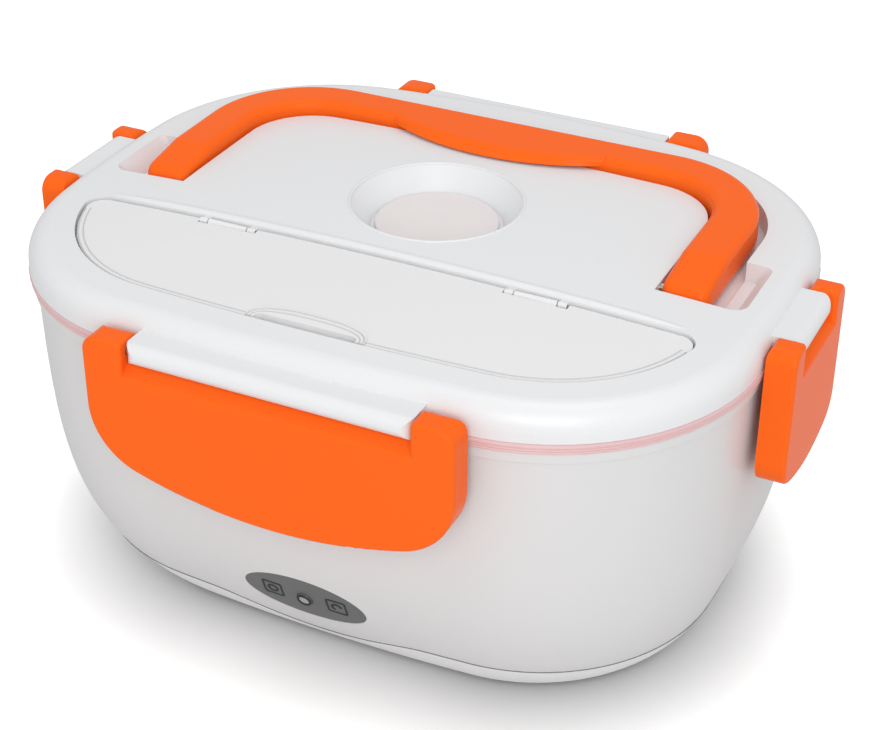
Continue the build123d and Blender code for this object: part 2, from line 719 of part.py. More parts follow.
# ---------------------------------------------------------------- base: panel and inlet
def indicator_panel():
    """Oval panel set in the lower front wall, following the wall's curve."""
    layer = body_form(PANEL_SINK) - body_form(PANEL_SINK + PANEL_THICK)
    panel = layer & panel_plug(0, 2 * HOUSING_WALL)
    return panel - panel_bar(0, 0, LED_LENS_R + FIT_GAP, -HOUSING_WALL, HOUSING_WALL * 2)


def led_lens():
    """Small domed light window in the middle of the panel."""
    stop = HOUSING_WALL + LED_LENS_PROUD
    lens = panel_bar(0, 0, LED_LENS_R, -LED_LENS_PROUD, stop)
    rim = lens.edges().sort_by(Axis.Y)[0]
    return fillet(rim, LED_LENS_PROUD)


def led_board():
    """Circuit board behind the panel, with its lamp and two standoffs."""
    start = HOUSING_WALL + BOARD_GAP
    board = panel_box(BOARD_HALF_X, BOARD_HALF_Z, start, start + BOARD_THICK)
    board = board + panel_bar(0, 0, LED_BODY, HOUSING_WALL + 2 * LED_LENS_PROUD, start)
    for end in (-1, 1):
        x = end * (BOARD_HALF_X - STANDOFF_R)
        post = panel_bar(x, 0, STANDOFF_R, HOUSING_WALL / 2, start)
        board = board + (post & body_form(HOUSING_WALL))
    return board


def inlet_housing():
    """Mains inlet: a block in the back wall with an open socket and a flange inside the wall."""
    back = INLET_FACE_Y - INLET_DEPTH
    low = INLET_Z - INLET_HALF_Z
    high = INLET_Z + INLET_HALF_Z
    block = slab(-INLET_HALF_X, INLET_HALF_X, back, HUGE, low, high) & body_form(0)
    flange_x = INLET_HALF_X + INLET_FLANGE
    flange_y = INLET_FACE_Y - 2 * HOUSING_WALL - INLET_FLANGE_THICK
    flange = slab(-flange_x, flange_x, flange_y, flange_y + INLET_FLANGE_THICK, low, high)
    block = block + (flange & body_form(HOUSING_WALL + FIT_GAP))
    socket = RectangleRounded(2 * SOCKET_HALF_X, 2 * SOCKET_HALF_Z, SOCKET_HALF_Z - FIT_GAP)
    reach = HUGE - INLET_FACE_Y + SOCKET_DEPTH
    cavity = Location((0, HUGE, INLET_Z), (90, 0, 0)) * extrude(socket, reach)
    block = block - cavity
    for x in inlet_pin_places():
        block = block - inlet_pin(x)
    for x in inlet_screw_places():
        block = block - back_bar(x, SMALL_SCREW_R + FIT_GAP, flange_y, flange_y + INLET_FLANGE_THICK)
    return block


def back_bar(x, radius, start, stop):
    """Round bar along Y at the inlet's height."""
    return Location((x, (start + stop) / 2, INLET_Z), (90, 0, 0)) * Cylinder(radius, stop - start)


def inlet_pin_places():
    """X places of the two inlet pins."""
    return (-INLET_PIN_SPACING / 2, INLET_PIN_SPACING / 2)


def inlet_screw_places():
    """X places of the two screws in the inlet's flange."""
    reach = INLET_HALF_X + INLET_FLANGE / 2
    return (-reach, reach)


def inlet_pin(x):
    """Round contact pin with a thicker root through the inlet's back wall and a tail for its wire."""
    floor_y = INLET_FACE_Y - SOCKET_DEPTH
    stop = INLET_FACE_Y - INLET_DEPTH - INLET_TAIL
    pin = back_bar(x, INLET_PIN_R, floor_y, floor_y + INLET_PIN_LENGTH)
    pin = fillet(pin.edges().group_by(Axis.Y)[-1], INLET_PIN_R / 2)
    return pin + back_bar(x, INLET_ROOT_R, stop, floor_y)


def inlet_pins():
    """The two contact pins."""
    return [inlet_pin(x) for x in inlet_pin_places()]


def inlet_posts():
    """Two posts inside the back wall that take the inlet's screws."""
    flange_face = INLET_FACE_Y - 2 * HOUSING_WALL
    posts = []
    for x in inlet_screw_places():
        post = back_bar(x, INLET_FLANGE / 2, flange_face, flange_face + 4 * HOUSING_WALL)
        hole = back_bar(x, SMALL_SCREW_R, flange_face - HOUSING_WALL, flange_face + HOUSING_WALL)
        posts.append((post & body_form(HOUSING_WALL / 2)) - hole)
    return posts


def inlet_screws():
    """Two screws that hold the inlet's flange to its posts."""
    length = PLATE_SCREW_LENGTH + INLET_FLANGE_THICK / 2
    shape = screw(SMALL_SCREW_R, length, SMALL_HEAD_R, SMALL_HEAD_THICK)
    flange_y = INLET_FACE_Y - 2 * HOUSING_WALL - INLET_FLANGE_THICK
    return [Location((x, flange_y, INLET_Z), (-90, 0, 0)) * shape for x in inlet_screw_places()]


# ---------------------------------------------------------------- base: wires
def wire(points):
    """Insulated wire along straight runs joined by round bends."""
    path = FilletPolyline(*points, radius=WIRE_BEND_R)
    start = Plane(path @ 0, z_dir=path % 0)
    return sweep(start * Circle(WIRE_R), path)


def lead_start(side):
    """Place where a wire meets the tail of an inlet pin."""
    tail = INLET_FACE_Y - INLET_DEPTH - INLET_TAIL
    return Vector(side * INLET_PIN_SPACING / 2, tail, INLET_Z)


FUSE_Z = WELL_FLOOR_Z - FUSE_SADDLE_WALL - FUSE_R
BLADE_Z = WELL_FLOOR_Z - THERMOSTAT_THICK - TERMINAL_LENGTH / 3
HEATER_LUG_Z = WELL_FLOOR_Z - HEATER_THICK / 2 + TERMINAL_THICK / 2
HEATER_END = HEATER_LENGTH / 2 + TERMINAL_LENGTH
LUG_RIGHT_X = HEATER_X + HEATER_END
LUG_LEFT_X = HEATER_X - HEATER_END


def live_wire():
    """Wire from the inlet to the fuse."""
    start = lead_start(1)
    fuse_end = FUSE_X + FUSE_LENGTH / 2
    return wire([
        start,
        start + Vector(0, -2 * WIRE_LOOP, 0),
        (fuse_end + 2 * WIRE_LOOP, FUSE_Y + 2.2 * WIRE_LOOP, INLET_Z + WIRE_LOOP / 2),
        (fuse_end + 2.4 * WIRE_LOOP, FUSE_Y, FUSE_Z),
        (fuse_end, FUSE_Y, FUSE_Z),
    ])


def fuse_link():
    """Short wire from the fuse to the thermostat."""
    fuse_end = FUSE_X - FUSE_LENGTH / 2
    blade = THERMOSTAT_X - THERMOSTAT_R / 2 - TERMINAL_THICK / 2
    turn_x = fuse_end - 1.4 * WIRE_LOOP
    return wire([
        (fuse_end, FUSE_Y, FUSE_Z),
        (turn_x, FUSE_Y, FUSE_Z),
        (turn_x, 0, BLADE_Z),
        (blade, 0, BLADE_Z),
    ])


def heater_link():
    """Wire from the thermostat to the heater's right-hand terminal."""
    blade = THERMOSTAT_X + THERMOSTAT_R / 2 + TERMINAL_THICK / 2
    turn_x = blade + 1.6 * WIRE_LOOP
    lug_x = LUG_RIGHT_X - TERMINAL_LENGTH / 4
    side_y = -(THERMOSTAT_EAR / 2 + WIRE_LOOP)
    return wire([
        (blade, 0, BLADE_Z),
        (turn_x, 0, BLADE_Z),
        (turn_x, side_y, (BLADE_Z + HEATER_LUG_Z) / 2),
        (lug_x, side_y, HEATER_LUG_Z),
        (lug_x, -TERMINAL_WIDTH / 2, HEATER_LUG_Z),
    ])


def neutral_wire():
    """Wire from the inlet to the heater's left-hand terminal."""
    start = lead_start(-1)
    return wire([
        start,
        start + Vector(0, -2 * WIRE_LOOP, 0),
        (LUG_LEFT_X - WIRE_LOOP, start.Y - 3 * WIRE_LOOP, INLET_Z + WIRE_LOOP / 3),
        (LUG_LEFT_X - 2 * WIRE_LOOP, 0, HEATER_LUG_Z),
        (LUG_LEFT_X, 0, HEATER_LUG_Z),
    ])


def panel_wires():
    """Two thin wires from the circuit board to the heater's terminals."""
    depth = HOUSING_WALL + BOARD_GAP + BOARD_THICK
    tilt = radians(PANEL_TILT)
    board_y = -body_size(PANEL_Z)[1] + depth * cos(tilt)
    board_z = PANEL_Z + depth * sin(tilt)
    lead_y = board_y + WIRE_LOOP * cos(tilt)
    lead_z = board_z + WIRE_LOOP * sin(tilt)
    lugs = {
        -1: LUG_LEFT_X + 2 * TERMINAL_LENGTH / 3,
        1: LUG_RIGHT_X - 2 * TERMINAL_LENGTH / 3,
    }
    wires = []
    for end, lug_x in lugs.items():
        x = end * 2 * BOARD_HALF_X / 3
        wires.append(wire([
            (x, board_y, board_z),
            (x, lead_y, lead_z),
            (lug_x, lead_y + 4 * WIRE_LOOP, lead_z - WIRE_LOOP / 2),
            (lug_x, -3 * WIRE_LOOP, HEATER_LUG_Z),
            (lug_x, -TERMINAL_WIDTH / 2, HEATER_LUG_Z),
        ]))
    return wires


# ---------------------------------------------------------------- contents
def food_tray():
    """Steel tray with rounded floor edges and a flat rim, standing on the hot plate."""
    outer = well_form(TRAY_GAP, TRAY_BOTTOM_Z, TRAY_TOP_Z)
    outer = fillet(outer.edges().group_by(Axis.Z)[0], TRAY_BOTTOM_R)
    inner = well_form(TRAY_GAP + TRAY_WALL, TRAY_BOTTOM_Z + TRAY_WALL, TRAY_TOP_Z)
    inner = fillet(inner.edges().group_by(Axis.Z)[0], TRAY_BOTTOM_R - TRAY_WALL)
    half_x, half_y, corner = [size - TRAY_GAP for size in well_half(TRAY_TOP_Z)]
    low = TRAY_TOP_Z - TRAY_WALL
    reach = TRAY_RIM
    rim = prism(half_x + reach, half_y + reach, corner + reach, low, TRAY_TOP_Z)
    return outer + rim - inner


def side_dish():
    """Lift-out dish that fills one end of the tray and hangs on its rim."""
    low = TRAY_TOP_Z - DISH_DEPTH
    gap = TRAY_GAP + TRAY_WALL + 2 * RUNNING_GAP

    def hollow(inset, floor, corner):
        form = well_form(gap + inset, floor, TRAY_TOP_Z + RUNNING_GAP)
        form = form & slab(DISH_SPLIT_X + inset, HUGE, -HUGE, HUGE, floor, HUGE)
        posts = form.edges().filter_by(lambda edge: abs(edge.tangent_at(0.5).Z) > UPRIGHT)
        posts = posts.filter_by(lambda edge: edge.center().X < DISH_SPLIT_X + inset + 1)
        form = fillet(posts, corner)
        return fillet(form.edges().group_by(Axis.Z)[0], DISH_BOTTOM_R - inset)

    dish = hollow(0, low, DISH_BOTTOM_R + DISH_WALL) - hollow(DISH_WALL, low + DISH_WALL, DISH_BOTTOM_R)
    rim_low = TRAY_TOP_Z + RUNNING_GAP
    inset = gap + DISH_WALL
    half_x, half_y, corner = [size - inset for size in well_half(rim_low)]
    reach = inset - TRAY_GAP
    collar_top = rim_low + TRAY_WALL
    collar = prism(half_x + reach, half_y + reach, corner + reach, rim_low, collar_top)
    collar = collar & slab(DISH_SPLIT_X, HUGE, -HUGE, HUGE, 0, HUGE)
    mouth = prism(half_x, half_y, corner, rim_low - TRAY_WALL, HUGE)
    mouth = mouth & slab(DISH_SPLIT_X + DISH_WALL, HUGE, -HUGE, HUGE, 0, HUGE)
    return dish + (collar - mouth)


# ---------------------------------------------------------------- lid forms
def lid_block(inset, low):
    """Domed block inside the lid's outline, with a rounded shoulder, down to a height."""
    block = lid_prism(inset, low, CROWN_Z + 1) & crown(inset)
    top_edges = block.edges().filter_by(lambda edge: edge.bounding_box().min.Z > LID_EDGE_Z + 3)
    return fillet(top_edges, SHOULDER_R - inset)


def arch(half_x, back_y, corner_r, front_y):
    """Plan of a plate with two round back corners and a straight front."""
    lean = corner_r * (1 - sqrt(0.5))
    side_y = back_y - corner_r
    edge_x = half_x - corner_r
    return make_face([
        Line((-half_x, front_y), (half_x, front_y)),
        Line((half_x, front_y), (half_x, side_y)),
        ThreePointArc((half_x, side_y), (half_x - lean, back_y - lean), (edge_x, back_y)),
        Line((edge_x, back_y), (-edge_x, back_y)),
        ThreePointArc((-edge_x, back_y), (-half_x + lean, back_y - lean), (-half_x, side_y)),
        Line((-half_x, side_y), (-half_x, front_y)),
    ])


def yoke(outer_gap, inner_gap, front_y):
    """U-shaped plan of the carrying handle, widened by a gap on each side."""
    inner = HANDLE_WIDTH + inner_gap
    outer = outer_gap
    outside = arch(HANDLE_HALF_X + outer, HANDLE_BACK_Y + outer, HANDLE_CORNER_R + outer, front_y)
    inside = arch(HANDLE_HALF_X - inner, HANDLE_BACK_Y - inner, HANDLE_CORNER_R - inner, front_y)
    return outside - inside


def raised(plan, low, high):
    """Plan face pulled up between two heights."""
    return extrude(Location((0, 0, low)) * plan, high - low, dir=(0, 0, 1))


def lid_channel(grow):
    """Space that the folded handle lies in, or its wall when grown."""
    plan = yoke(CHANNEL_OUTER_GAP + grow, CHANNEL_INNER_GAP + grow, POCKET_FRONT_Y - grow)
    return raised(plan, HANDLE_BOTTOM_Z - CHANNEL_FLOOR_GAP - grow, CROWN_Z + 1)


def lid_scoop(end, grow):
    """Sloped finger scoop outside an arm of the handle."""
    inner_x = HANDLE_HALF_X + CHANNEL_OUTER_GAP - 1
    front_y = POCKET_FRONT_Y - grow
    back_y = POCKET_BACK_Y + grow
    top_x = HANDLE_HALF_X + POCKET_REACH + grow
    low_x = inner_x + (top_x - inner_x) * POCKET_FLOOR_SHARE
    low = HANDLE_BOTTOM_Z - grow

    def plan(outer_x, z, share):
        points = [(inner_x, front_y), (outer_x, front_y), (outer_x, back_y), (inner_x, back_y)]
        face = make_face(Polyline(*[(end * x, y, z) for x, y in points], close=True))
        outer = face.vertices().filter_by(lambda v: abs(v.X - end * outer_x) < TINY).sort_by(Axis.Y)
        face = fillet(outer[0], (POCKET_FRONT_R + grow) * share)
        outer = face.vertices().filter_by(lambda v: abs(v.X - end * outer_x) < TINY).sort_by(Axis.Y)
        return fillet(outer[-1], (POCKET_BACK_R + grow) * share)

    brim = dome_z(top_x, front_y) + grow
    slope = loft([plan(low_x, low, POCKET_FLOOR_SHARE), plan(top_x, brim, 1)], ruled=True)
    return slope + raised(plan(top_x, 0, 1), brim, CROWN_Z + 1)


def vent_cone(grow):
    """Conical vent well, or its wall when grown."""
    low = VENT_FLOOR_Z - grow
    slope = (VENT_TOP_R - VENT_FLOOR_R) / (CROWN_Z - VENT_FLOOR_Z)
    high = CROWN_Z + 1
    low_r = VENT_FLOOR_R + grow
    high_r = low_r + slope * (high - low)
    return Location((0, WELL_Y, (low + high) / 2)) * Cone(low_r, high_r, high - low)


def utensil_plan(inset):
    """D-shaped plan of the utensil cover, a given distance inside its edge."""
    reach = COVER_INSET + inset
    plan = outline(LID_HALF_X - reach, LID_HALF_Y - reach, LID_CORNER_R - reach)
    keep = Location((0, COVER_BACK_Y - inset - HUGE / 2)) * Rectangle(HUGE, HUGE)
    plan = plan & keep
    corners = plan.vertices().group_by(Axis.Y)[-1]
    return fillet(corners, max(COVER_CORNER_R - inset, 1))


def handle_boss(end, radius, start_x, stop_x):
    """Round bar along an arm's hinge axis, mirrored to one end."""
    return rod(end * start_x, end * stop_x, PIVOT_Y, PIVOT_Z, radius)


def cover_knuckle(end, radius, start, stop):
    """Round bar along the utensil cover's hinge axis near one knuckle."""
    return rod(end * KNUCKLE_X + start, end * KNUCKLE_X + stop, COVER_HINGE_Y, COVER_HINGE_Z, radius)


LUG_START = KNUCKLE_LENGTH / 2 + SEAT_GAP
LUG_STOP = LUG_START + LUG_WIDTH


# ---------------------------------------------------------------- lid parts
def latch_tab(side):
    """Round lip along the lid's edge that a latch hangs from, bored at each end for its pin."""
    half = side.tab_half
    wall = side.lid_half
    back_y = -(wall - side.root)
    nose_y = side.pin_y - TAB_R
    low = LATCH_PIN_Z - TAB_R
    high = LATCH_PIN_Z + TAB_R
    tab = slab(-half, half, side.pin_y, back_y, low, high)
    tab = tab + rod(-half, half, side.pin_y, LATCH_PIN_Z, TAB_R)
    plan = make_face(Polyline((-half, nose_y), (half, nose_y), (half, back_y), (-half, back_y), close=True))
    plan = fillet(plan.vertices().group_by(Axis.Y)[0], TAB_CORNER_R)
    tab = tab & raised(plan, low, high)
    for end in (-1, 1):
        start = end * (half + 1)
        stop = end * (half - LATCH_PIN_ANCHOR)
        tab = tab - rod(start, stop, side.pin_y, LATCH_PIN_Z, LATCH_PIN_R)
    return around(tab, side.name) - lid_prism(LID_WALL, low, high)


def ear_sweep(side):
    """Space that a latch's ears sweep near the lid's edge."""
    reach = LATCH_PIN_OFFSET - RUNNING_GAP - EAR_EDGE_R
    rise = EAR_TOP_Z - LATCH_PIN_Z - EAR_EDGE_R
    radius = hypot(reach, rise) + EAR_EDGE_R + RUNNING_GAP
    inner = side.half - side.ear - RUNNING_GAP
    outer = side.half + RUNNING_GAP
    bars = [rod(end * inner, end * outer, side.pin_y, LATCH_PIN_Z, radius) for end in (-1, 1)]
    return around(fuse(bars), side.name)


def lid_shell():
    """Domed lid with handle channel, finger scoops, vent well, utensil bay and latch tabs."""
    seat_depth = COVER_SINK + COVER_THICK + COVER_SEAT_GAP
    skin = lid_block(0, LID_EDGE_Z) - lid_block(LID_WALL, LID_EDGE_Z - 1)
    channel_wall = lid_channel(POCKET_WALL)
    vent_wall = vent_cone(POCKET_WALL)
    bay_low = COMPARTMENT_FLOOR_Z - POCKET_WALL
    bay_wall = raised(utensil_plan(COVER_SEAT - POCKET_WALL), bay_low, CROWN_Z + 1)
    shelf = raised(utensil_plan(-POCKET_WALL - SEAT_GAP), LID_EDGE_Z, CROWN_Z + 1)
    shelf = shelf & (crown(LID_WALL / 2) - crown(seat_depth + POCKET_WALL))
    walls = channel_wall + vent_wall + bay_wall + shelf
    boss_start = ARM_INNER_X - CHANNEL_INNER_GAP
    boss_stop = boss_start - HANDLE_PIN_DEPTH
    for end in (-1, 1):
        walls = walls + lid_scoop(end, POCKET_WALL)
        walls = walls + handle_boss(end, HANDLE_PIN_R + POCKET_WALL, boss_start, boss_stop)
    shell = skin + (walls & lid_block(LID_WALL / 2, COMPARTMENT_FLOOR_Z - 2 * POCKET_WALL))
    shell = shell - lid_channel(0) - vent_cone(0)
    shell = shell - raised(utensil_plan(COVER_SEAT), COMPARTMENT_FLOOR_Z, CROWN_Z + 1)
    shell = shell - (raised(utensil_plan(-SEAT_GAP), LID_EDGE_Z, CROWN_Z + 1) - crown(seat_depth))
    shell = shell - pillar(0, WELL_Y, VENT_HOLE_R, LID_EDGE_Z, CROWN_Z)
    for end in (-1, 1):
        shell = shell - lid_scoop(end, 0)
        shell = shell - handle_boss(end, HANDLE_PIN_R, ARM_INNER_X, ARM_INNER_X - HANDLE_PIN_DEPTH)
        shell = shell - cover_knuckle(end, KNUCKLE_R + RUNNING_GAP, -LUG_START, LUG_START)
        for way in (-1, 1):
            lug = cover_knuckle(end, KNUCKLE_R, way * LUG_START, way * LUG_STOP)
            x0 = end * KNUCKLE_X + way * LUG_START
            x1 = end * KNUCKLE_X + way * LUG_STOP
            web_low = COVER_HINGE_Z - seat_depth
            web_high = COVER_HINGE_Z + KNUCKLE_R / 2
            web = slab(x0, x1, COVER_HINGE_Y, COVER_BACK_Y + RUNNING_GAP, web_low, web_high)
            shell = shell + lug + web
        shell = shell - cover_knuckle(end, COVER_PIN_R, -LUG_STOP, LUG_STOP)
    for side in SIDES:
        shell = shell - ear_sweep(side)
        shell = shell + latch_tab(side)
    return shell


def lid_liner():
    """Inner pan of the lid, with a flange that closes the shell from below."""
    pan = lid_prism(LINER_INSET, LINER_FLOOR_Z, LID_EDGE_Z + LINER_WALL)
    pan = fillet(pan.edges().group_by(Axis.Z)[0], LINER_WALL * 1.5)
    hollow = lid_prism(LINER_INSET + LINER_WALL, LINER_FLOOR_Z + LINER_WALL, LID_EDGE_Z + LINER_WALL)
    flange = lid_prism(LID_WALL + FIT_GAP, LID_EDGE_Z, LID_EDGE_Z + LINER_WALL)
    liner = pan + flange - hollow - lid_channel(POCKET_WALL + FIT_GAP)
    return liner - pillar(0, WELL_Y, VENT_HOLE_R, LINER_FLOOR_Z, LID_EDGE_Z)


def lid_gasket():
    """Silicone seal under the lid's edge."""
    low = RIM_Z + SEAT_GAP
    seal = lid_prism(GASKET_INSET, low, LID_EDGE_Z) - lid_prism(LINER_INSET, low, LID_EDGE_Z)
    return seal


def vent_plug():
    """Soft steam plug in the vent well, with a hollow stem through the lid."""
    disc = pillar(0, WELL_Y, VENT_PLUG_R, VENT_PLUG_Z, VENT_PLUG_Z + VENT_PLUG_THICK)
    disc = fillet(disc.edges().group_by(Axis.Z)[-1], VENT_PLUG_THICK / 2)
    stem = pillar(0, WELL_Y, VENT_STEM_R, VENT_PLUG_Z - VENT_STEM_LENGTH, VENT_PLUG_Z)
    bore = pillar(0, WELL_Y, VENT_STEM_R / 2, VENT_PLUG_Z - VENT_STEM_LENGTH, VENT_PLUG_Z)
    return disc + stem - bore


def utensil_cover():
    """Clear curved cover with a thumb notch, a raised arch round it and two hinge knuckles."""
    layer = crown(COVER_SINK) - crown(COVER_SINK + COVER_THICK)
    back_y = COVER_HINGE_Y + COVER_THICK / 2
    plate = raised(utensil_plan(SEAT_GAP), LID_EDGE_Z, CROWN_Z + 1)
    plate = plate & slab(-HUGE, HUGE, -HUGE, back_y, LID_EDGE_Z, HUGE)
    front_y = -(LID_HALF_Y - COVER_INSET)
    arch_plan = arch(ARCH_HALF_X, front_y + ARCH_DEPTH, ARCH_CORNER_R, front_y - 1)
    notch_plan = arch(NOTCH_HALF_X, front_y + NOTCH_DEPTH, NOTCH_CORNER_R, front_y - 1)
    lip = crown(COVER_SINK - ARCH_RISE) - crown(COVER_SINK + COVER_THICK)
    lip = lip & raised(arch_plan, LID_EDGE_Z, CROWN_Z + 1) & plate
    cover = (plate & layer) + lip - raised(notch_plan, LID_EDGE_Z, CROWN_Z + 1)
    for end in (-1, 1):
        gap = LUG_STOP + RUNNING_GAP
        x = end * KNUCKLE_X
        bay_y = COVER_HINGE_Y - KNUCKLE_R - RUNNING_GAP
        cover = cover - slab(x - gap, x + gap, bay_y, back_y + 1, LID_EDGE_Z, HUGE)
        half = KNUCKLE_LENGTH / 2
        arm_low = COVER_HINGE_Z - KNUCKLE_R
        arm = slab(x - half, x + half, bay_y - FIT_GAP, COVER_HINGE_Y, arm_low, COVER_HINGE_Z)
        cover = cover + arm + cover_knuckle(end, KNUCKLE_R, -half, half)
        cover = cover - cover_knuckle(end, COVER_PIN_R + PIN_GAP, -half, half)
    return cover


def cover_pins():
    """Two hinge pins of the utensil cover."""
    return [cover_knuckle(end, COVER_PIN_R, -LUG_STOP, LUG_STOP) for end in (-1, 1)]


def spoon():
    """Spoon lying in the utensil bay."""
    floor_z = COMPARTMENT_FLOOR_Z + SEAT_GAP
    bowl_x = SPOON_X + SPOON_BOWL_X

    def oval(scale_x, scale_y, z):
        return Location((bowl_x, SPOON_Y, z)) * Ellipse(SPOON_BOWL_X * scale_x, SPOON_BOWL_Y * scale_y)

    def bowl(shrink, low):
        return loft([oval(share * shrink, share * shrink, low + SPOON_BOWL_DEPTH * rise)
                     for share, rise in SPOON_STEPS])

    shrink = 1 - SPOON_WALL / SPOON_BOWL_Y
    outer = bowl(1, floor_z)
    inner = bowl(shrink, floor_z + SPOON_WALL)
    top = floor_z + SPOON_BOWL_DEPTH
    grip_end = SPOON_X + SPOON_LENGTH
    grip_start = bowl_x + SPOON_BOWL_X * SPOON_NECK_SHARE
    grip_plate = RectangleRounded(grip_end - grip_start, SPOON_GRIP, SPOON_GRIP / 2 - FIT_GAP)
    grip = Location(((grip_start + grip_end) / 2, SPOON_Y)) * grip_plate
    neck = raised(grip, top - SPOON_THICK, top) - raised(oval(shrink, shrink, 0), top - SPOON_THICK, top)
    return (outer - inner) + neck


# ---------------------------------------------------------------- carrying handle
def arm_end(end):
    """Front end of one arm: it slopes down and rolls round the hinge."""
    start = min(end * ARM_INNER_X, end * HANDLE_HALF_X)
    rise = HANDLE_TOP_Z - PIVOT_Z
    reach = hypot(HANDLE_END_SLOPE, rise)
    lean = atan2(rise, HANDLE_END_SLOPE) + acos(HANDLE_END_R / reach)
    back = PIVOT_Y + HANDLE_END_SLOPE
    tangent = (PIVOT_Y + HANDLE_END_R * cos(lean), PIVOT_Z + HANDLE_END_R * sin(lean))
    low = (PIVOT_Y, HANDLE_BOTTOM_Z)
    roll = ThreePointArc(tangent, (PIVOT_Y - HANDLE_END_R, PIVOT_Z), low)
    rest = Polyline(low, (back, HANDLE_BOTTOM_Z), (back, HANDLE_TOP_Z), tangent)
    return extrude(Plane.YZ.offset(start) * make_face([roll, rest]), HANDLE_WIDTH)


def grip_plan(depth, z):
    """Plan of the grip's forward swelling, reaching back into the bar."""
    front = HANDLE_BACK_Y - HANDLE_WIDTH
    back = front + HANDLE_WIDTH / 2
    half = GRIP_HALF_X
    curve = ThreePointArc((-half, front), (0, front - depth), (half, front))
    sides = Polyline((half, front), (half, back), (-half, back), (-half, front))
    return Location((0, 0, z)) * make_face([curve, sides])


def finger_grip():
    """Slanted swelling along the front of the handle's cross bar."""
    levels = [grip_plan(GRIP_BULGE, GRIP_LOW_Z), grip_plan(GRIP_TOP_BULGE, HANDLE_TOP_Z)]
    grip = loft(levels, ruled=True)
    front_edge = grip.edges().group_by(Axis.Z)[-1].sort_by(Axis.Y)[0]
    return fillet(front_edge, GRIP_EDGE_R)


def carry_handle():
    """U-shaped carrying handle with a finger grip, folded back in its channel."""
    bar = raised(yoke(0, 0, PIVOT_Y + HANDLE_END_SLOPE), HANDLE_BOTTOM_Z, HANDLE_TOP_Z)
    for end in (-1, 1):
        bar = bar + arm_end(end)
    top = HANDLE_TOP_Z - TINY
    slope_back = PIVOT_Y + HANDLE_END_SLOPE + TINY
    upper = bar.edges().filter_by(lambda edge: edge.bounding_box().max.Z > top)
    flat = upper.filter_by(lambda edge: edge.bounding_box().min.Z > top and edge.center().Y > slope_back)
    slopes = upper.filter_by(lambda edge: PIVOT_Z < edge.bounding_box().min.Z < top)
    bar = fillet(flat + slopes, HANDLE_EDGE_R) + finger_grip()
    hole_stop = ARM_INNER_X + HANDLE_PIN_DEPTH + PIN_GAP
    for end in (-1, 1):
        bar = bar - handle_boss(end, HANDLE_PIN_R + PIN_GAP, ARM_INNER_X - 1, hole_stop)
    return bar


def handle_pins():
    """Two hinge pins, fixed in the lid and turning in the handle's arms."""
    start = ARM_INNER_X - HANDLE_PIN_DEPTH
    stop = ARM_INNER_X + HANDLE_PIN_DEPTH
    return [handle_boss(end, HANDLE_PIN_R, start, stop) for end in (-1, 1)]


# ---------------------------------------------------------------- latches
def latch_plan(side):
    """Front view of a latch: two ears over a plate with a curved lower edge."""
    half = side.half
    ear = half - side.ear
    low = LATCH_BOTTOM_Z + side.belly
    belly = ThreePointArc((-half, low), (0, LATCH_BOTTOM_Z), (half, low))
    right = [(half, low), (half, EAR_TOP_Z), (ear, EAR_TOP_Z), (ear, LATCH_PLATE_TOP_Z)]
    frame = Polyline(*right, *[(-x, z) for x, z in reversed(right)])
    plan = make_face([belly, frame])
    low_corners = plan.vertices().filter_by(lambda v: v.Y < low + 1)
    plan = fillet(low_corners, side.corner)
    tops = plan.vertices().filter_by(lambda v: v.Y > EAR_TOP_Z - TINY)
    plan = fillet(tops.filter_by(lambda v: abs(v.X) > half - TINY), EAR_OUTER_R)
    tops = plan.vertices().filter_by(lambda v: v.Y > EAR_TOP_Z - TINY)
    return fillet(tops.filter_by(lambda v: abs(v.X) < ear + TINY), EAR_INNER_R)


def latch_ledge(side):
    """Wedge cut from a latch between its ears, which leaves a sloped ledge under the lid's lip."""
    ear = side.half - side.ear
    inner_y = LATCH_LEDGE_DEPTH - side.outer
    points = [(-side.outer, LATCH_LEDGE_Z), (inner_y, LATCH_PLATE_TOP_Z), (inner_y, EAR_TOP_Z)]
    points += [(-side.outer - 1, EAR_TOP_Z), (-side.outer - 1, LATCH_LEDGE_Z)]
    wedge = make_face(Polyline(*points, close=True))
    return extrude(Plane.YZ.offset(-ear) * wedge, 2 * ear)


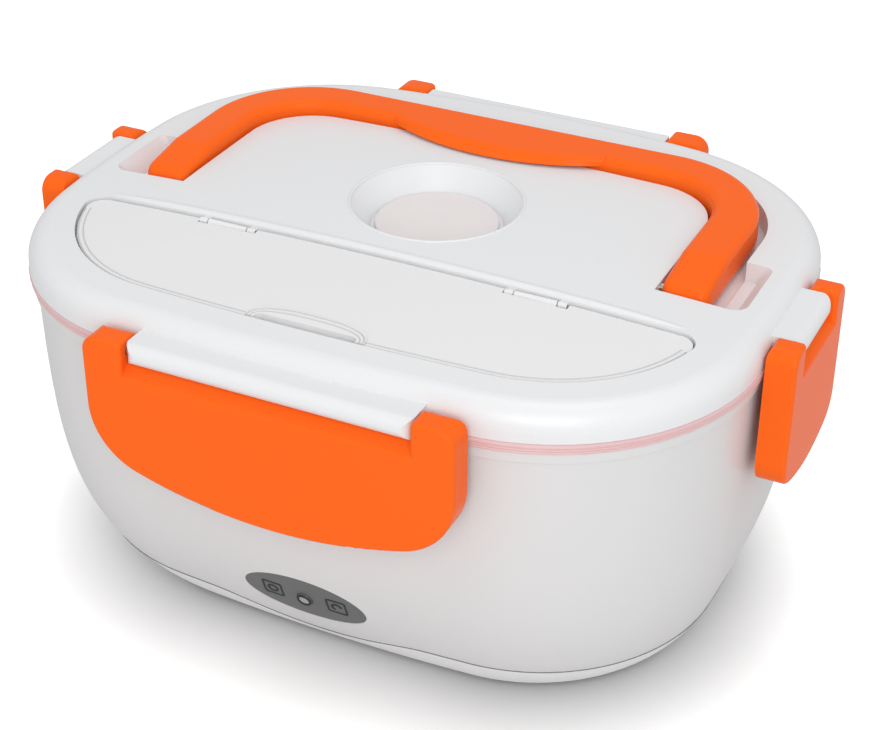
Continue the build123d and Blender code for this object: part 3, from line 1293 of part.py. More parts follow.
def latch(side):
    """Clip that hangs from two pins on the lid and hooks under the housing's ridge."""
    wall = side.lid_half
    back_y = wall + RUNNING_GAP
    depth = side.outer - back_y
    body = extrude(Plane.XZ.offset(back_y) * latch_plan(side), depth) - latch_ledge(side)
    rim = body.edges().filter_by(lambda edge: edge.bounding_box().max.Y < TINY - side.outer)
    body = fillet(rim, LATCH_EDGE_R)
    round_y = -(back_y + EAR_EDGE_R)
    round_z = EAR_TOP_Z - EAR_EDGE_R
    corner = slab(-HUGE, HUGE, round_y, 0, round_z, HUGE)
    body = body - (corner - rod(-HUGE, HUGE, round_y, round_z, EAR_EDGE_R))
    inside = side.half - LATCH_FLANGE
    low = LATCH_BOTTOM_Z + LATCH_FLANGE
    hollow_top = LATCH_PLATE_TOP_Z - LATCH_FLANGE
    hollow = make_face([
        ThreePointArc((-inside, low + side.belly), (0, low), (inside, low + side.belly)),
        Polyline((inside, low + side.belly), (inside, hollow_top), (-inside, hollow_top),
                 (-inside, low + side.belly)),
    ])
    corners = hollow.vertices().filter_by(lambda v: v.Y < low + side.belly + 1)
    hollow = fillet(corners, side.corner - LATCH_FLANGE)
    body = body - extrude(Plane.XZ * hollow, side.outer - LATCH_PLATE_THICK)
    ear = side.half - side.ear
    plate_back = side.outer - LATCH_PLATE_THICK
    ledge_back = side.outer - LATCH_LEDGE_DEPTH - LATCH_LEDGE_FLAT
    opening_low = LATCH_BOTTOM_Z + LATCH_FLANGE * 3
    body = body - slab(-ear, ear, -plate_back, 0, opening_low, LATCH_PLATE_TOP_Z - LATCH_FLANGE)
    body = body - slab(-ear, ear, -ledge_back, 0, opening_low, HUGE)
    flange_y = side.body_half + CATCH_PROUD + RUNNING_GAP
    body = body - slab(-ear, ear, -flange_y, 0, 0, opening_low)
    tip = side.body_half + CATCH_PROUD - LATCH_HOOK_REACH
    hook_top = CATCH_TOP_Z - CATCH_HEIGHT - HOOK_GAP
    hook_half = side.catch_half - HOOK_GAP
    root = side.outer - LATCH_PLATE_THICK / 2
    hook = slab(-hook_half, hook_half, -root, -tip, hook_top - LATCH_HOOK_THICK, hook_top)
    tip_edges = hook.edges().filter_by(Axis.X).group_by(Axis.Y)[-1]
    body = body + fillet(tip_edges.group_by(Axis.Z)[0], LATCH_HOOK_THICK / 3)
    for end in (-1, 1):
        hole_start = end * (ear - 1)
        hole_stop = end * (ear - RUNNING_GAP - LATCH_PIN_ANCHOR + LATCH_PIN_LENGTH + PIN_GAP)
        body = body - rod(hole_start, hole_stop, side.pin_y, LATCH_PIN_Z, LATCH_PIN_R + PIN_GAP)
    return around(body, side.name)


def latch_pins():
    """Eight short pins, fixed in the lid's tabs and turning in the latches' ears."""
    pins = []
    for side in SIDES:
        for end in (-1, 1):
            start = end * (side.tab_half - LATCH_PIN_ANCHOR)
            stop = start + end * LATCH_PIN_LENGTH
            pin = rod(start, stop, side.pin_y, LATCH_PIN_Z, LATCH_PIN_R)
            pins.append(around(pin, side.name))
    return pins


# ---------------------------------------------------------------- assembly
def housing_with_posts():
    """Outer housing joined to the inlet's posts."""
    return fuse([outer_housing()] + inlet_posts())


NODES = {
    "outer_housing": housing_with_posts,
    "bottom_cover": bottom_cover,
    "rubber_feet": rubber_feet,
    "cover_screws": cover_screws,
    "inner_well": inner_well,
    "heating_plate": heating_plate,
    "plate_screws": plate_screws,
    "ptc_heater": ptc_heater,
    "heater_strap": heater_strap,
    "heater_screws": heater_screws,
    "thermostat": thermostat,
    "thermal_fuse": thermal_fuse,
    "fuse_saddle": fuse_saddle,
    "indicator_panel": indicator_panel,
    "led_lens": led_lens,
    "led_board": led_board,
    "inlet_housing": inlet_housing,
    "inlet_pins": inlet_pins,
    "inlet_screws": inlet_screws,
    "live_wire": live_wire,
    "fuse_link": fuse_link,
    "heater_link": heater_link,
    "neutral_wire": neutral_wire,
    "panel_wires": panel_wires,
    "food_tray": food_tray,
    "side_dish": side_dish,
    "lid_shell": lid_shell,
    "lid_liner": lid_liner,
    "lid_gasket": lid_gasket,
    "vent_plug": vent_plug,
    "utensil_cover": utensil_cover,
    "cover_pins": cover_pins,
    "spoon": spoon,
    "carry_handle": carry_handle,
    "handle_pins": handle_pins,
    "latch_pins": latch_pins,
}
for place in SIDES:
    NODES["latch_" + place.name] = lambda place=place: latch(place)


def main():
    """Build every node and write it to its own file."""
    os.makedirs("parts", exist_ok=True)
    for name, build in NODES.items():
        shape = build()
        if isinstance(shape, list):
            shape = Compound(children=shape)
        export_step(shape, f"parts/{name}.step")
        print(name, round(shape.volume, 1))


main()
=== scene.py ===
"""Looks of an electric lunch box: finishes, fine trim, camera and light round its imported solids."""

import logging
import math
from collections.abc import Iterable
from dataclasses import dataclass, field
from enum import Enum

import bpy
from mathutils import Matrix, Vector
from mathutils.bvhtree import BVHTree


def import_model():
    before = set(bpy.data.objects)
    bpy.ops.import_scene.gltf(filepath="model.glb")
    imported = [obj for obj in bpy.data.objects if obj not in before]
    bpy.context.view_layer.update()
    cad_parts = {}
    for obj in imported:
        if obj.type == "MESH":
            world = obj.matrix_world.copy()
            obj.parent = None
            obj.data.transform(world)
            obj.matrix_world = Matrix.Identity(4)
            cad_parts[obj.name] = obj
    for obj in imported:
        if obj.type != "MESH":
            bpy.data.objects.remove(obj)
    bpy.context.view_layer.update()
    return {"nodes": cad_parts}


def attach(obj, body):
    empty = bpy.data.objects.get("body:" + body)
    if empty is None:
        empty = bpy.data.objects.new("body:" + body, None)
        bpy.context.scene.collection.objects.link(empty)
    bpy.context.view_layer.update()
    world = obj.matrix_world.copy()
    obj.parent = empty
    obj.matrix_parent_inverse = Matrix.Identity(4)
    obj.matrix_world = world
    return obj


LOG = logging.getLogger("lunch_box")
MM = 0.001

Span = tuple[float, float]
Triple = tuple[float, float, float]
Colour = Triple

EVEN: Triple = (1.0, 1.0, 1.0)
WHITE: Colour = (1.0, 1.0, 1.0)
UNIT: Span = (0.0, 1.0)
MOST_OF_NOISE: Span = (0.2, 0.8)
CORE_OF_NOISE: Span = (0.3, 0.7)
NOISE_ROUGHNESS = 0.55
PLASTIC_IOR = 1.49
PANEL_TILT = 20.0
WELD = 0.001 * MM
BEAD_ANGLE = 50.0


def grey(level: float) -> Colour:
    """The grey of a level."""
    return (level, level, level)


# ---------------------------------------------------------------- shader building
class Val:
    """A shader number whose arithmetic adds Math nodes."""

    def __init__(self, graph: "Graph", socket: bpy.types.NodeSocket) -> None:
        """Wraps a socket of a graph."""
        self.graph = graph
        self.socket = socket

    def __add__(self, other: object) -> "Val":
        """Sum."""
        return self.graph.math("ADD", self, other)

    def __sub__(self, other: object) -> "Val":
        """Difference."""
        return self.graph.math("SUBTRACT", self, other)

    def __mul__(self, other: object) -> "Val":
        """Product."""
        return self.graph.math("MULTIPLY", self, other)

    def __truediv__(self, other: object) -> "Val":
        """Quotient."""
        return self.graph.math("DIVIDE", self, other)

    def __pow__(self, other: object) -> "Val":
        """Power."""
        return self.graph.math("POWER", self, other)


class Graph:
    """One material's node tree."""

    def __init__(self, name: str) -> None:
        """Makes a material with an empty tree.

        Args:
            name: the material's name.
        """
        self.material = bpy.data.materials.new(name)
        self.material.use_nodes = True
        self.tree = self.material.node_tree
        self.tree.nodes.clear()
        self._place: dict[str, Val] = {}

    def node(self, kind: str, settings: dict | None = None, inputs: dict | None = None) -> bpy.types.Node:
        """Adds a node.

        Args:
            kind: the node's type.
            settings: properties that are set before the inputs.
            inputs: values, Vals or sockets by the input's name or index.

        Returns:
            The node.
        """
        made = self.tree.nodes.new(kind)
        for key, value in (settings or {}).items():
            setattr(made, key, value)
        for key, value in (inputs or {}).items():
            self._feed(made.inputs[key], value)
        return made

    def _feed(self, socket: bpy.types.NodeSocket, value: object) -> None:
        """Gives an input a value or a link.

        Args:
            socket: the input.
            value: a Val or a socket to link, or else the value itself.
        """
        if isinstance(value, Val):
            self.tree.links.new(value.socket, socket)
        elif isinstance(value, bpy.types.NodeSocket):
            self.tree.links.new(value, socket)
        elif isinstance(value, tuple) and len(value) == 3 and socket.type == "RGBA":
            socket.default_value = (*value, 1.0)
        else:
            socket.default_value = value

    def math(self, operation: str, first: object, second: object = 0.0) -> Val:
        """Adds a Math node of one or two values."""
        made = self.node("ShaderNodeMath", {"operation": operation}, {0: first, 1: second})
        return Val(self, made.outputs[0])

    def length(self, across: Val, along: Val) -> Val:
        """Length of a vector by its two parts."""
        return self.math("SQRT", across * across + along * along)

    def clamp(self, value: Val, span: Span, onto: Span = UNIT) -> Val:
        """Maps a span of a value onto another, held at the ends.

        Args:
            value: the value.
            span: its low and high ends.
            onto: what the ends become.

        Returns:
            The mapped value.
        """
        inputs = {
            "Value": value,
            "From Min": span[0], "From Max": span[1],
            "To Min": onto[0], "To Max": onto[1],
        }
        return Val(self, self.node("ShaderNodeMapRange", {"clamp": True}, inputs).outputs[0])

    def place(self, axis: str) -> Val:
        """One coordinate of the surface point in metres, in the part's own frame.

        Args:
            axis: X, Y or Z.

        Returns:
            The coordinate.
        """
        if axis not in self._place:
            apart = self.node("ShaderNodeSeparateXYZ", inputs={0: self.point()})
            for index, name in enumerate("XYZ"):
                self._place[name] = Val(self, apart.outputs[index])
        return self._place[axis]

    def point(self, stretch: Triple = EVEN) -> bpy.types.NodeSocket:
        """The surface point in the part's own frame.

        Args:
            stretch: scale of the pattern along each axis.

        Returns:
            The vector socket.
        """
        coords = self.node("ShaderNodeTexCoord").outputs["Object"]
        if stretch == EVEN:
            return coords
        return self.node("ShaderNodeMapping", inputs={"Vector": coords, "Scale": stretch}).outputs[0]

    def noise(self, cells: float, detail: float = 2.0, stretch: Triple = EVEN) -> Val:
        """Soft noise, 0 to 1.

        Args:
            cells: number of cells to the metre.
            detail: number of finer layers.
            stretch: scale of the pattern along each axis.

        Returns:
            The noise.
        """
        inputs = {"Vector": self.point(stretch), "Scale": cells, "Detail": detail}
        inputs["Roughness"] = NOISE_ROUGHNESS
        return Val(self, self.node("ShaderNodeTexNoise", inputs=inputs).outputs[0])

    def mix(self, factor: object, first: object, second: object) -> bpy.types.NodeSocket:
        """Mixes two colours."""
        inputs = {0: factor, 6: first, 7: second}
        return self.node("ShaderNodeMix", {"data_type": "RGBA"}, inputs).outputs[2]

    def bump(self, height: Val, distance: float) -> bpy.types.NodeSocket:
        """Turns a height into a normal."""
        inputs = {"Strength": 1.0, "Distance": distance, "Height": height}
        return self.node("ShaderNodeBump", inputs=inputs).outputs[0]

    def surface(self, inputs: dict) -> bpy.types.Material:
        """Closes the tree with a Principled shader.

        Args:
            inputs: the shader's inputs by name.

        Returns:
            The material.
        """
        shader = self.node("ShaderNodeBsdfPrincipled", inputs=inputs)
        return self.close(shader)

    def close(self, shader: bpy.types.Node) -> bpy.types.Material:
        """Leads a shader to the material's output and returns the material."""
        self.node("ShaderNodeOutputMaterial", inputs={"Surface": shader.outputs[0]})
        return self.material


# ---------------------------------------------------------------- finishes
@dataclass(frozen=True)
class Moulded:
    """Injection-moulded plastic: nearly even colour, fine texture and a soft gloss."""

    name: str
    colour: Colour
    shade: Colour
    roughness: float = 0.28
    spread: float = 0.06
    grain: float = 0.03 * MM
    grain_cells: float = 1200.0
    gloss: float = 0.5
    flow_cells: float = 9.0

    def material(self) -> bpy.types.Material:
        """Builds the finish's material.

        Returns:
            The material.
        """
        graph = Graph(self.name)
        flow = graph.noise(self.flow_cells, detail=1.0)
        fine = graph.noise(self.grain_cells, detail=1.0)
        tint = graph.clamp(flow, MOST_OF_NOISE)
        return graph.surface({
            "Base Color": graph.mix(tint, self.colour, self.shade),
            "Roughness": graph.clamp(fine, MOST_OF_NOISE, (self.roughness, self.roughness + self.spread)),
            "Normal": graph.bump(fine, self.grain),
            "Specular IOR Level": self.gloss,
            "IOR": PLASTIC_IOR,
        })


@dataclass(frozen=True)
class Frosted:
    """Clear moulded plastic, so cloudy that it nearly hides what lies under it."""

    name: str
    colour: Colour = (0.845, 0.836, 0.838)
    shade: Colour = (0.830, 0.824, 0.826)
    alpha: float = 0.95
    alpha_spread: float = 0.01
    roughness: float = 0.26
    spread: float = 0.03
    cloud_cells: float = 12.0

    def material(self) -> bpy.types.Material:
        """Builds the finish's material.

        Returns:
            The material.
        """
        graph = Graph(self.name)
        cloud = graph.noise(self.cloud_cells, detail=1.0)
        tint = graph.clamp(cloud, MOST_OF_NOISE)
        veil = (self.alpha - self.alpha_spread, self.alpha + self.alpha_spread)
        return graph.surface({
            "Base Color": graph.mix(tint, self.colour, self.shade),
            "Roughness": graph.clamp(cloud, MOST_OF_NOISE, (self.roughness, self.roughness + self.spread)),
            "Alpha": graph.clamp(cloud, MOST_OF_NOISE, veil),
            "IOR": PLASTIC_IOR,
        })


@dataclass(frozen=True)
class LampWindow:
    """Round lamp window: a pale middle inside a dark edge."""

    name: str
    pale: Colour = (0.36, 0.365, 0.355)
    dark: Colour = (0.10, 0.104, 0.103)
    middle_z: float = 26.87 * MM
    tilt: float = PANEL_TILT
    pale_radius: float = 1.5 * MM
    edge_blur: float = 0.1 * MM
    roughness: float = 0.20
    spread: float = 0.08
    haze_cells: float = 600.0

    def material(self) -> bpy.types.Material:
        """Builds the finish's material.

        Returns:
            The material.
        """
        graph = Graph(self.name)
        up = (graph.place("Z") - self.middle_z) / math.cos(math.radians(self.tilt))
        apart = graph.length(graph.place("X"), up)
        edge = graph.clamp(apart, (self.pale_radius - self.edge_blur, self.pale_radius + self.edge_blur))
        haze = graph.noise(self.haze_cells)
        return graph.surface({
            "Base Color": graph.mix(edge, self.pale, self.dark),
            "Roughness": graph.clamp(haze, CORE_OF_NOISE, (self.roughness, self.roughness + self.spread)),
            "IOR": PLASTIC_IOR,
        })


@dataclass(frozen=True)
class Brushed:
    """Metal with fine brush lines along one way, a little smeared."""

    name: str
    colour: Colour
    dark: Colour
    stretch: Triple = (1.0, 60.0, 60.0)
    cells: float = 40.0
    roughness: float = 0.26
    depth: float = 0.02 * MM
    spread: float = 0.16
    smear_cells: float = 18.0
    smear_share: float = 0.3

    def material(self) -> bpy.types.Material:
        """Builds the finish's material.

        Returns:
            The material.
        """
        graph = Graph(self.name)
        lines = graph.noise(self.cells, detail=3.0, stretch=self.stretch)
        smear = graph.noise(self.smear_cells, detail=3.0)
        tint = graph.clamp(lines, CORE_OF_NOISE)
        wear = lines * (1.0 - self.smear_share) + smear * self.smear_share
        return graph.surface({
            "Base Color": graph.mix(tint, self.dark, self.colour),
            "Metallic": 1.0,
            "Roughness": graph.clamp(wear, CORE_OF_NOISE, (self.roughness, self.roughness + self.spread)),
            "Normal": graph.bump(lines, self.depth),
        })


@dataclass(frozen=True)
class Soft:
    """Silicone or rubber: matt, with a faint bloom and a fine skin."""

    name: str
    colour: Colour
    bloom: Colour
    roughness: float = 0.55
    depth: float = 0.06 * MM
    cells: float = 700.0
    spread: float = 0.15
    dust_cells: float = 45.0
    dust_span: Span = (0.4, 0.75)
    sheen: float = 0.05

    def material(self) -> bpy.types.Material:
        """Builds the finish's material.

        Returns:
            The material.
        """
        graph = Graph(self.name)
        skin = graph.noise(self.cells, detail=3.0)
        dust = graph.noise(self.dust_cells, detail=4.0)
        tint = graph.clamp(dust, self.dust_span)
        return graph.surface({
            "Base Color": graph.mix(tint, self.colour, self.bloom),
            "Roughness": graph.clamp(dust, CORE_OF_NOISE, (self.roughness, self.roughness + self.spread)),
            "Normal": graph.bump(skin, self.depth),
            "Sheen Weight": self.sheen,
        })


class Finish(Enum):
    """Every finish of the box."""

    CASE = Moulded("case_white", (0.700, 0.694, 0.694), (0.688, 0.683, 0.684), roughness=0.34)
    # Lighter than the case's white to stand for light at the box's foot: painted light against the shade
    # there.
    SKIRT = Moulded("skirt_white", (0.85, 0.845, 0.847), (0.835, 0.83, 0.832), roughness=0.34)
    LID = Moulded("lid_white", (0.775, 0.785, 0.797), (0.765, 0.773, 0.785), roughness=0.30)
    INNER = Moulded(
        "inner_white", (0.74, 0.735, 0.72), (0.71, 0.705, 0.69),
        roughness=0.42, spread=0.12, grain=0.06 * MM)
    ORANGE = Moulded(
        "orange_gloss", (0.97, 0.140, 0.013), (0.94, 0.132, 0.011),
        roughness=0.26, spread=0.01, grain=0.002 * MM, gloss=0.06)
    PANEL = Moulded(
        "panel_grey", (0.150, 0.157, 0.156), (0.130, 0.135, 0.134),
        roughness=0.46, spread=0.10, grain=0.08 * MM, grain_cells=1600.0, gloss=0.3)
    PRINT = Moulded(
        "panel_print", (0.022, 0.023, 0.023), (0.030, 0.031, 0.031), roughness=0.45, spread=0.10, gloss=0.3)
    BLACK = Moulded(
        "inlet_black", (0.018, 0.018, 0.019), (0.026, 0.026, 0.027),
        roughness=0.38, spread=0.14, grain=0.06 * MM)
    RESIN = Moulded(
        "thermostat_black", (0.030, 0.026, 0.024), (0.045, 0.040, 0.036),
        roughness=0.45, spread=0.15, grain=0.08 * MM)
    FIBRE = Moulded(
        "fibre_sleeve", (0.78, 0.74, 0.62), (0.66, 0.62, 0.50),
        roughness=0.70, spread=0.15, grain=0.2 * MM, grain_cells=600.0)
    BOARD = Moulded("board_green", (0.012, 0.115, 0.035), (0.008, 0.085, 0.028), roughness=0.35, spread=0.10)
    LAMP = LampWindow("lamp_window")
    # Dark bead in the closed seam: painted shadow of the gap between housing and bottom cover.
    SEAM = Moulded("seam_shadow", grey(0.16), grey(0.20), roughness=0.6, gloss=0.2)
    COVER = Frosted("cover_clear")
    # Grey of the fine lines on the utensil cover: painted shade of its grooves and of its arch's edge.
    LINE = Moulded("cover_shade_line", (0.60, 0.595, 0.597), (0.57, 0.566, 0.568), roughness=0.40, gloss=0.3)
    STEEL = Brushed("tray_steel", (0.62, 0.62, 0.61), grey(0.50))
    SCREW = Brushed("screw_steel", (0.50, 0.50, 0.49), grey(0.34), stretch=EVEN, cells=800.0, roughness=0.30)
    PIN = Brushed("pin_steel", grey(0.55), grey(0.42), stretch=(60.0, 60.0, 1.0), cells=30.0, roughness=0.25)
    PLATE = Brushed(
        "plate_aluminium", (0.66, 0.66, 0.67), (0.55, 0.55, 0.56),
        stretch=(1.0, 40.0, 1.0), cells=60.0, roughness=0.34)
    HEATER = Brushed(
        "heater_aluminium", (0.56, 0.56, 0.57), (0.44, 0.44, 0.45),
        stretch=(1.0, 30.0, 1.0), cells=80.0, roughness=0.36)
    CONTACT = Brushed(
        "contact_metal", (0.72, 0.71, 0.68), (0.60, 0.59, 0.56), stretch=EVEN, cells=500.0, roughness=0.18)
    FUSE = Brushed(
        "fuse_metal", (0.58, 0.52, 0.36), (0.46, 0.41, 0.28), stretch=EVEN, cells=600.0, roughness=0.28)
    SEAL = Soft("gasket_silicone", (0.74, 0.49, 0.495), (0.76, 0.53, 0.535))
    PLUG = Soft("plug_silicone", (0.77, 0.72, 0.717), (0.74, 0.69, 0.688), roughness=0.42)
    FOOT = Soft("foot_rubber", (0.030, 0.030, 0.031), (0.050, 0.050, 0.051), roughness=0.62)
    RED = Soft("wire_red", (0.45, 0.014, 0.010), (0.40, 0.020, 0.016), roughness=0.40)
    BLUE = Soft("wire_blue", (0.010, 0.035, 0.36), (0.016, 0.045, 0.32), roughness=0.40)
    YELLOW = Soft("wire_yellow", (0.62, 0.42, 0.02), (0.56, 0.38, 0.03), roughness=0.40)


class Palette:
    """Builds each finish once and hands it out."""

    def __init__(self) -> None:
        """Starts with no materials."""
        self._made: dict[Finish, bpy.types.Material] = {}

    def get(self, finish: Finish) -> bpy.types.Material:
        """The finish's material.

        Args:
            finish: the finish.

        Returns:
            Its material, made at the first call.
        """
        if finish not in self._made:
            self._made[finish] = finish.value.material()
        return self._made[finish]


# ---------------------------------------------------------------- modelling helpers
def only(piece: bpy.types.Object) -> None:
    """Makes one object the only selected and the active one.

    Args:
        piece: the object.
    """
    bpy.ops.object.select_all(action="DESELECT")
    piece.select_set(True)
    bpy.context.view_layer.objects.active = piece


def settle(piece: bpy.types.Object, name: str, angle: float = 35.0) -> bpy.types.Object:
    """Puts a piece's place into its mesh, welds it, turns its faces outwards and smooths it.

    Args:
        piece: the object.
        name: its final name.
        angle: edges sharper than this stay sharp, in degrees.

    Returns:
        The piece.
    """
    only(piece)
    bpy.ops.object.transform_apply(location=True, rotation=True, scale=True)
    bpy.ops.object.mode_set(mode="EDIT")
    bpy.ops.mesh.select_all(action="SELECT")
    bpy.ops.mesh.remove_doubles(threshold=WELD)
    bpy.ops.mesh.normals_make_consistent(inside=False)
    bpy.ops.object.mode_set(mode="OBJECT")
    bpy.ops.object.shade_smooth_by_angle(angle=math.radians(angle))
    piece.name = name
    piece.data.name = name
    return piece


def tube(
    name: str, points: Iterable[Vector], radius: float, closed: bool, facets: int = 3
) -> bpy.types.Object:
    """A round bead along points, as a closed mesh.

    Args:
        name: the piece's name.
        points: the bead's middle line.
        radius: the bead's radius.
        closed: whether the line is a loop.
        facets: smoothness of the bead's section.

    Returns:
        The mesh object.
    """
    line = bpy.data.curves.new(name, "CURVE")
    line.dimensions = "3D"
    line.bevel_depth = radius
    line.bevel_resolution = facets
    line.use_fill_caps = True
    places = list(points)
    spline = line.splines.new("POLY")
    spline.points.add(len(places) - 1)
    for target, place in zip(spline.points, places):
        target.co = (*place, 1.0)
    spline.use_cyclic_u = closed
    piece = bpy.data.objects.new(name, line)
    bpy.context.scene.collection.objects.link(piece)
    only(piece)
    bpy.ops.object.convert(target="MESH")
    return settle(bpy.context.view_layer.objects.active, name, BEAD_ANGLE)


def turned(radius: float, angle: float) -> Vector:
    """A plan vector of a length at an angle in radians."""
    return Vector((radius * math.cos(angle), radius * math.sin(angle)))


def circle(radius: float, count: int) -> list[Vector]:
    """Plan points of a circle round the origin, counter-clockwise."""
    return [turned(radius, 2 * math.pi * index / count) for index in range(count)]


@dataclass(frozen=True)
class Dome:
    """The lid's crown, part of a large ball, in metres."""

    top: float = 110.4 * MM
    radius: float = 1900.0 * MM

    def height(self, x: float, y: float, sink: float = 0.0) -> float:
        """Height of the crown over a plan point, or of a surface a given distance under it."""
        return self.top - self.radius + math.sqrt((self.radius - sink) ** 2 - x * x - y * y)

    def over(self, plan: Vector, sink: float = 0.0) -> Vector:
        """The point on the crown, or under it, over a plan point."""
        return Vector((plan.x, plan.y, self.height(plan.x, plan.y, sink)))


@dataclass(frozen=True)
class PlanOutline:
    """The bowed plan outline that the lid, the tray and the utensil cover follow, in metres."""

    half_x: float
    half_y: float
    corner: float
    side_bow: float = 475.0 * MM
    front_bow: float = 570.0 * MM

    def inset(self, reach: float) -> "PlanOutline":
        """The outline a given distance further in."""
        return PlanOutline(self.half_x - reach, self.half_y - reach, self.corner - reach)

    def _bow_centres(self) -> tuple[Vector, Vector]:
        """Centres of the right side's arc and of the back's arc."""
        return Vector((self.half_x - self.side_bow, 0.0)), Vector((0.0, self.half_y - self.front_bow))

    def _corner_centre(self) -> Vector:
        """Centre of the first quadrant's corner arc, which touches both bowed arcs from inside.

        Returns:
            The plan point.
        """
        side, end = self._bow_centres()
        reach_side = self.side_bow - self.corner
        reach_end = self.front_bow - self.corner
        span = end - side
        along = (reach_side**2 - reach_end**2 + span.length_squared) / (2 * span.length)
        across = math.sqrt(reach_side**2 - along**2)
        way = span.normalized()
        normal = Vector((-way.y, way.x))
        if normal.x + normal.y < 0:
            normal = -normal
        return side + way * along + normal * across

    def _quadrant(self, count: int) -> list[Vector]:
        """Points of the first quadrant, from the side's middle to the end's middle.

        Args:
            count: number of points on each of the three arcs.

        Returns:
            The plan points.
        """
        side, end = self._bow_centres()
        centre = self._corner_centre()
        low = math.atan2((centre - side).y, (centre - side).x)
        high = math.atan2((centre - end).y, (centre - end).x)
        arcs = (
            (side, self.side_bow, 0.0, low),
            (centre, self.corner, low, high),
            (end, self.front_bow, high, math.pi / 2),
        )
        points = [
            middle + turned(radius, start + (stop - start) * index / count)
            for middle, radius, start, stop in arcs
            for index in range(count)
        ]
        return points + [Vector((0.0, self.half_y))]

    def loop(self, count: int = 12) -> list[Vector]:
        """Plan points of the whole outline, counter-clockwise.

        Args:
            count: number of points on each arc of a quadrant.

        Returns:
            The plan points.
        """
        first = self._quadrant(count)
        second = [Vector((-p.x, p.y)) for p in reversed(first[:-1])]
        half = first + second
        return half + [Vector((p.x, -p.y)) for p in reversed(half[1:-1])]


LID_PLAN = PlanOutline(half_x=105.5 * MM, half_y=82.7 * MM, corner=59.0 * MM)
DOME = Dome()


@dataclass
class Workshop:
    """What every sub-assembly needs: the frame's nodes and the palette."""

    nodes: dict[str, bpy.types.Object]
    palette: Palette
    made: list[str] = field(default_factory=list)

    def dress(self, finishes: dict[str, Finish]) -> None:
        """Gives nodes of the frame their finishes.

        Args:
            finishes: each node's finish by the node's name.
        """
        for name, finish in finishes.items():
            data = self.nodes[name].data
            material = self.palette.get(finish)
            if not data.materials:
                data.materials.append(material)
            for index in range(len(data.materials)):
                data.materials[index] = material

    def adopt(self, piece: bpy.types.Object, body: str, slot: str, finish: Finish) -> None:
        """Dresses a new piece and makes it ride on a body.

        Args:
            piece: the object, in place.
            body: the body that carries it.
            slot: the record's material slot; not used.
            finish: its finish.
        """
        piece.data.materials.clear()
        piece.data.materials.append(self.palette.get(finish))
        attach(piece, body)
        self.made.append(piece.name)


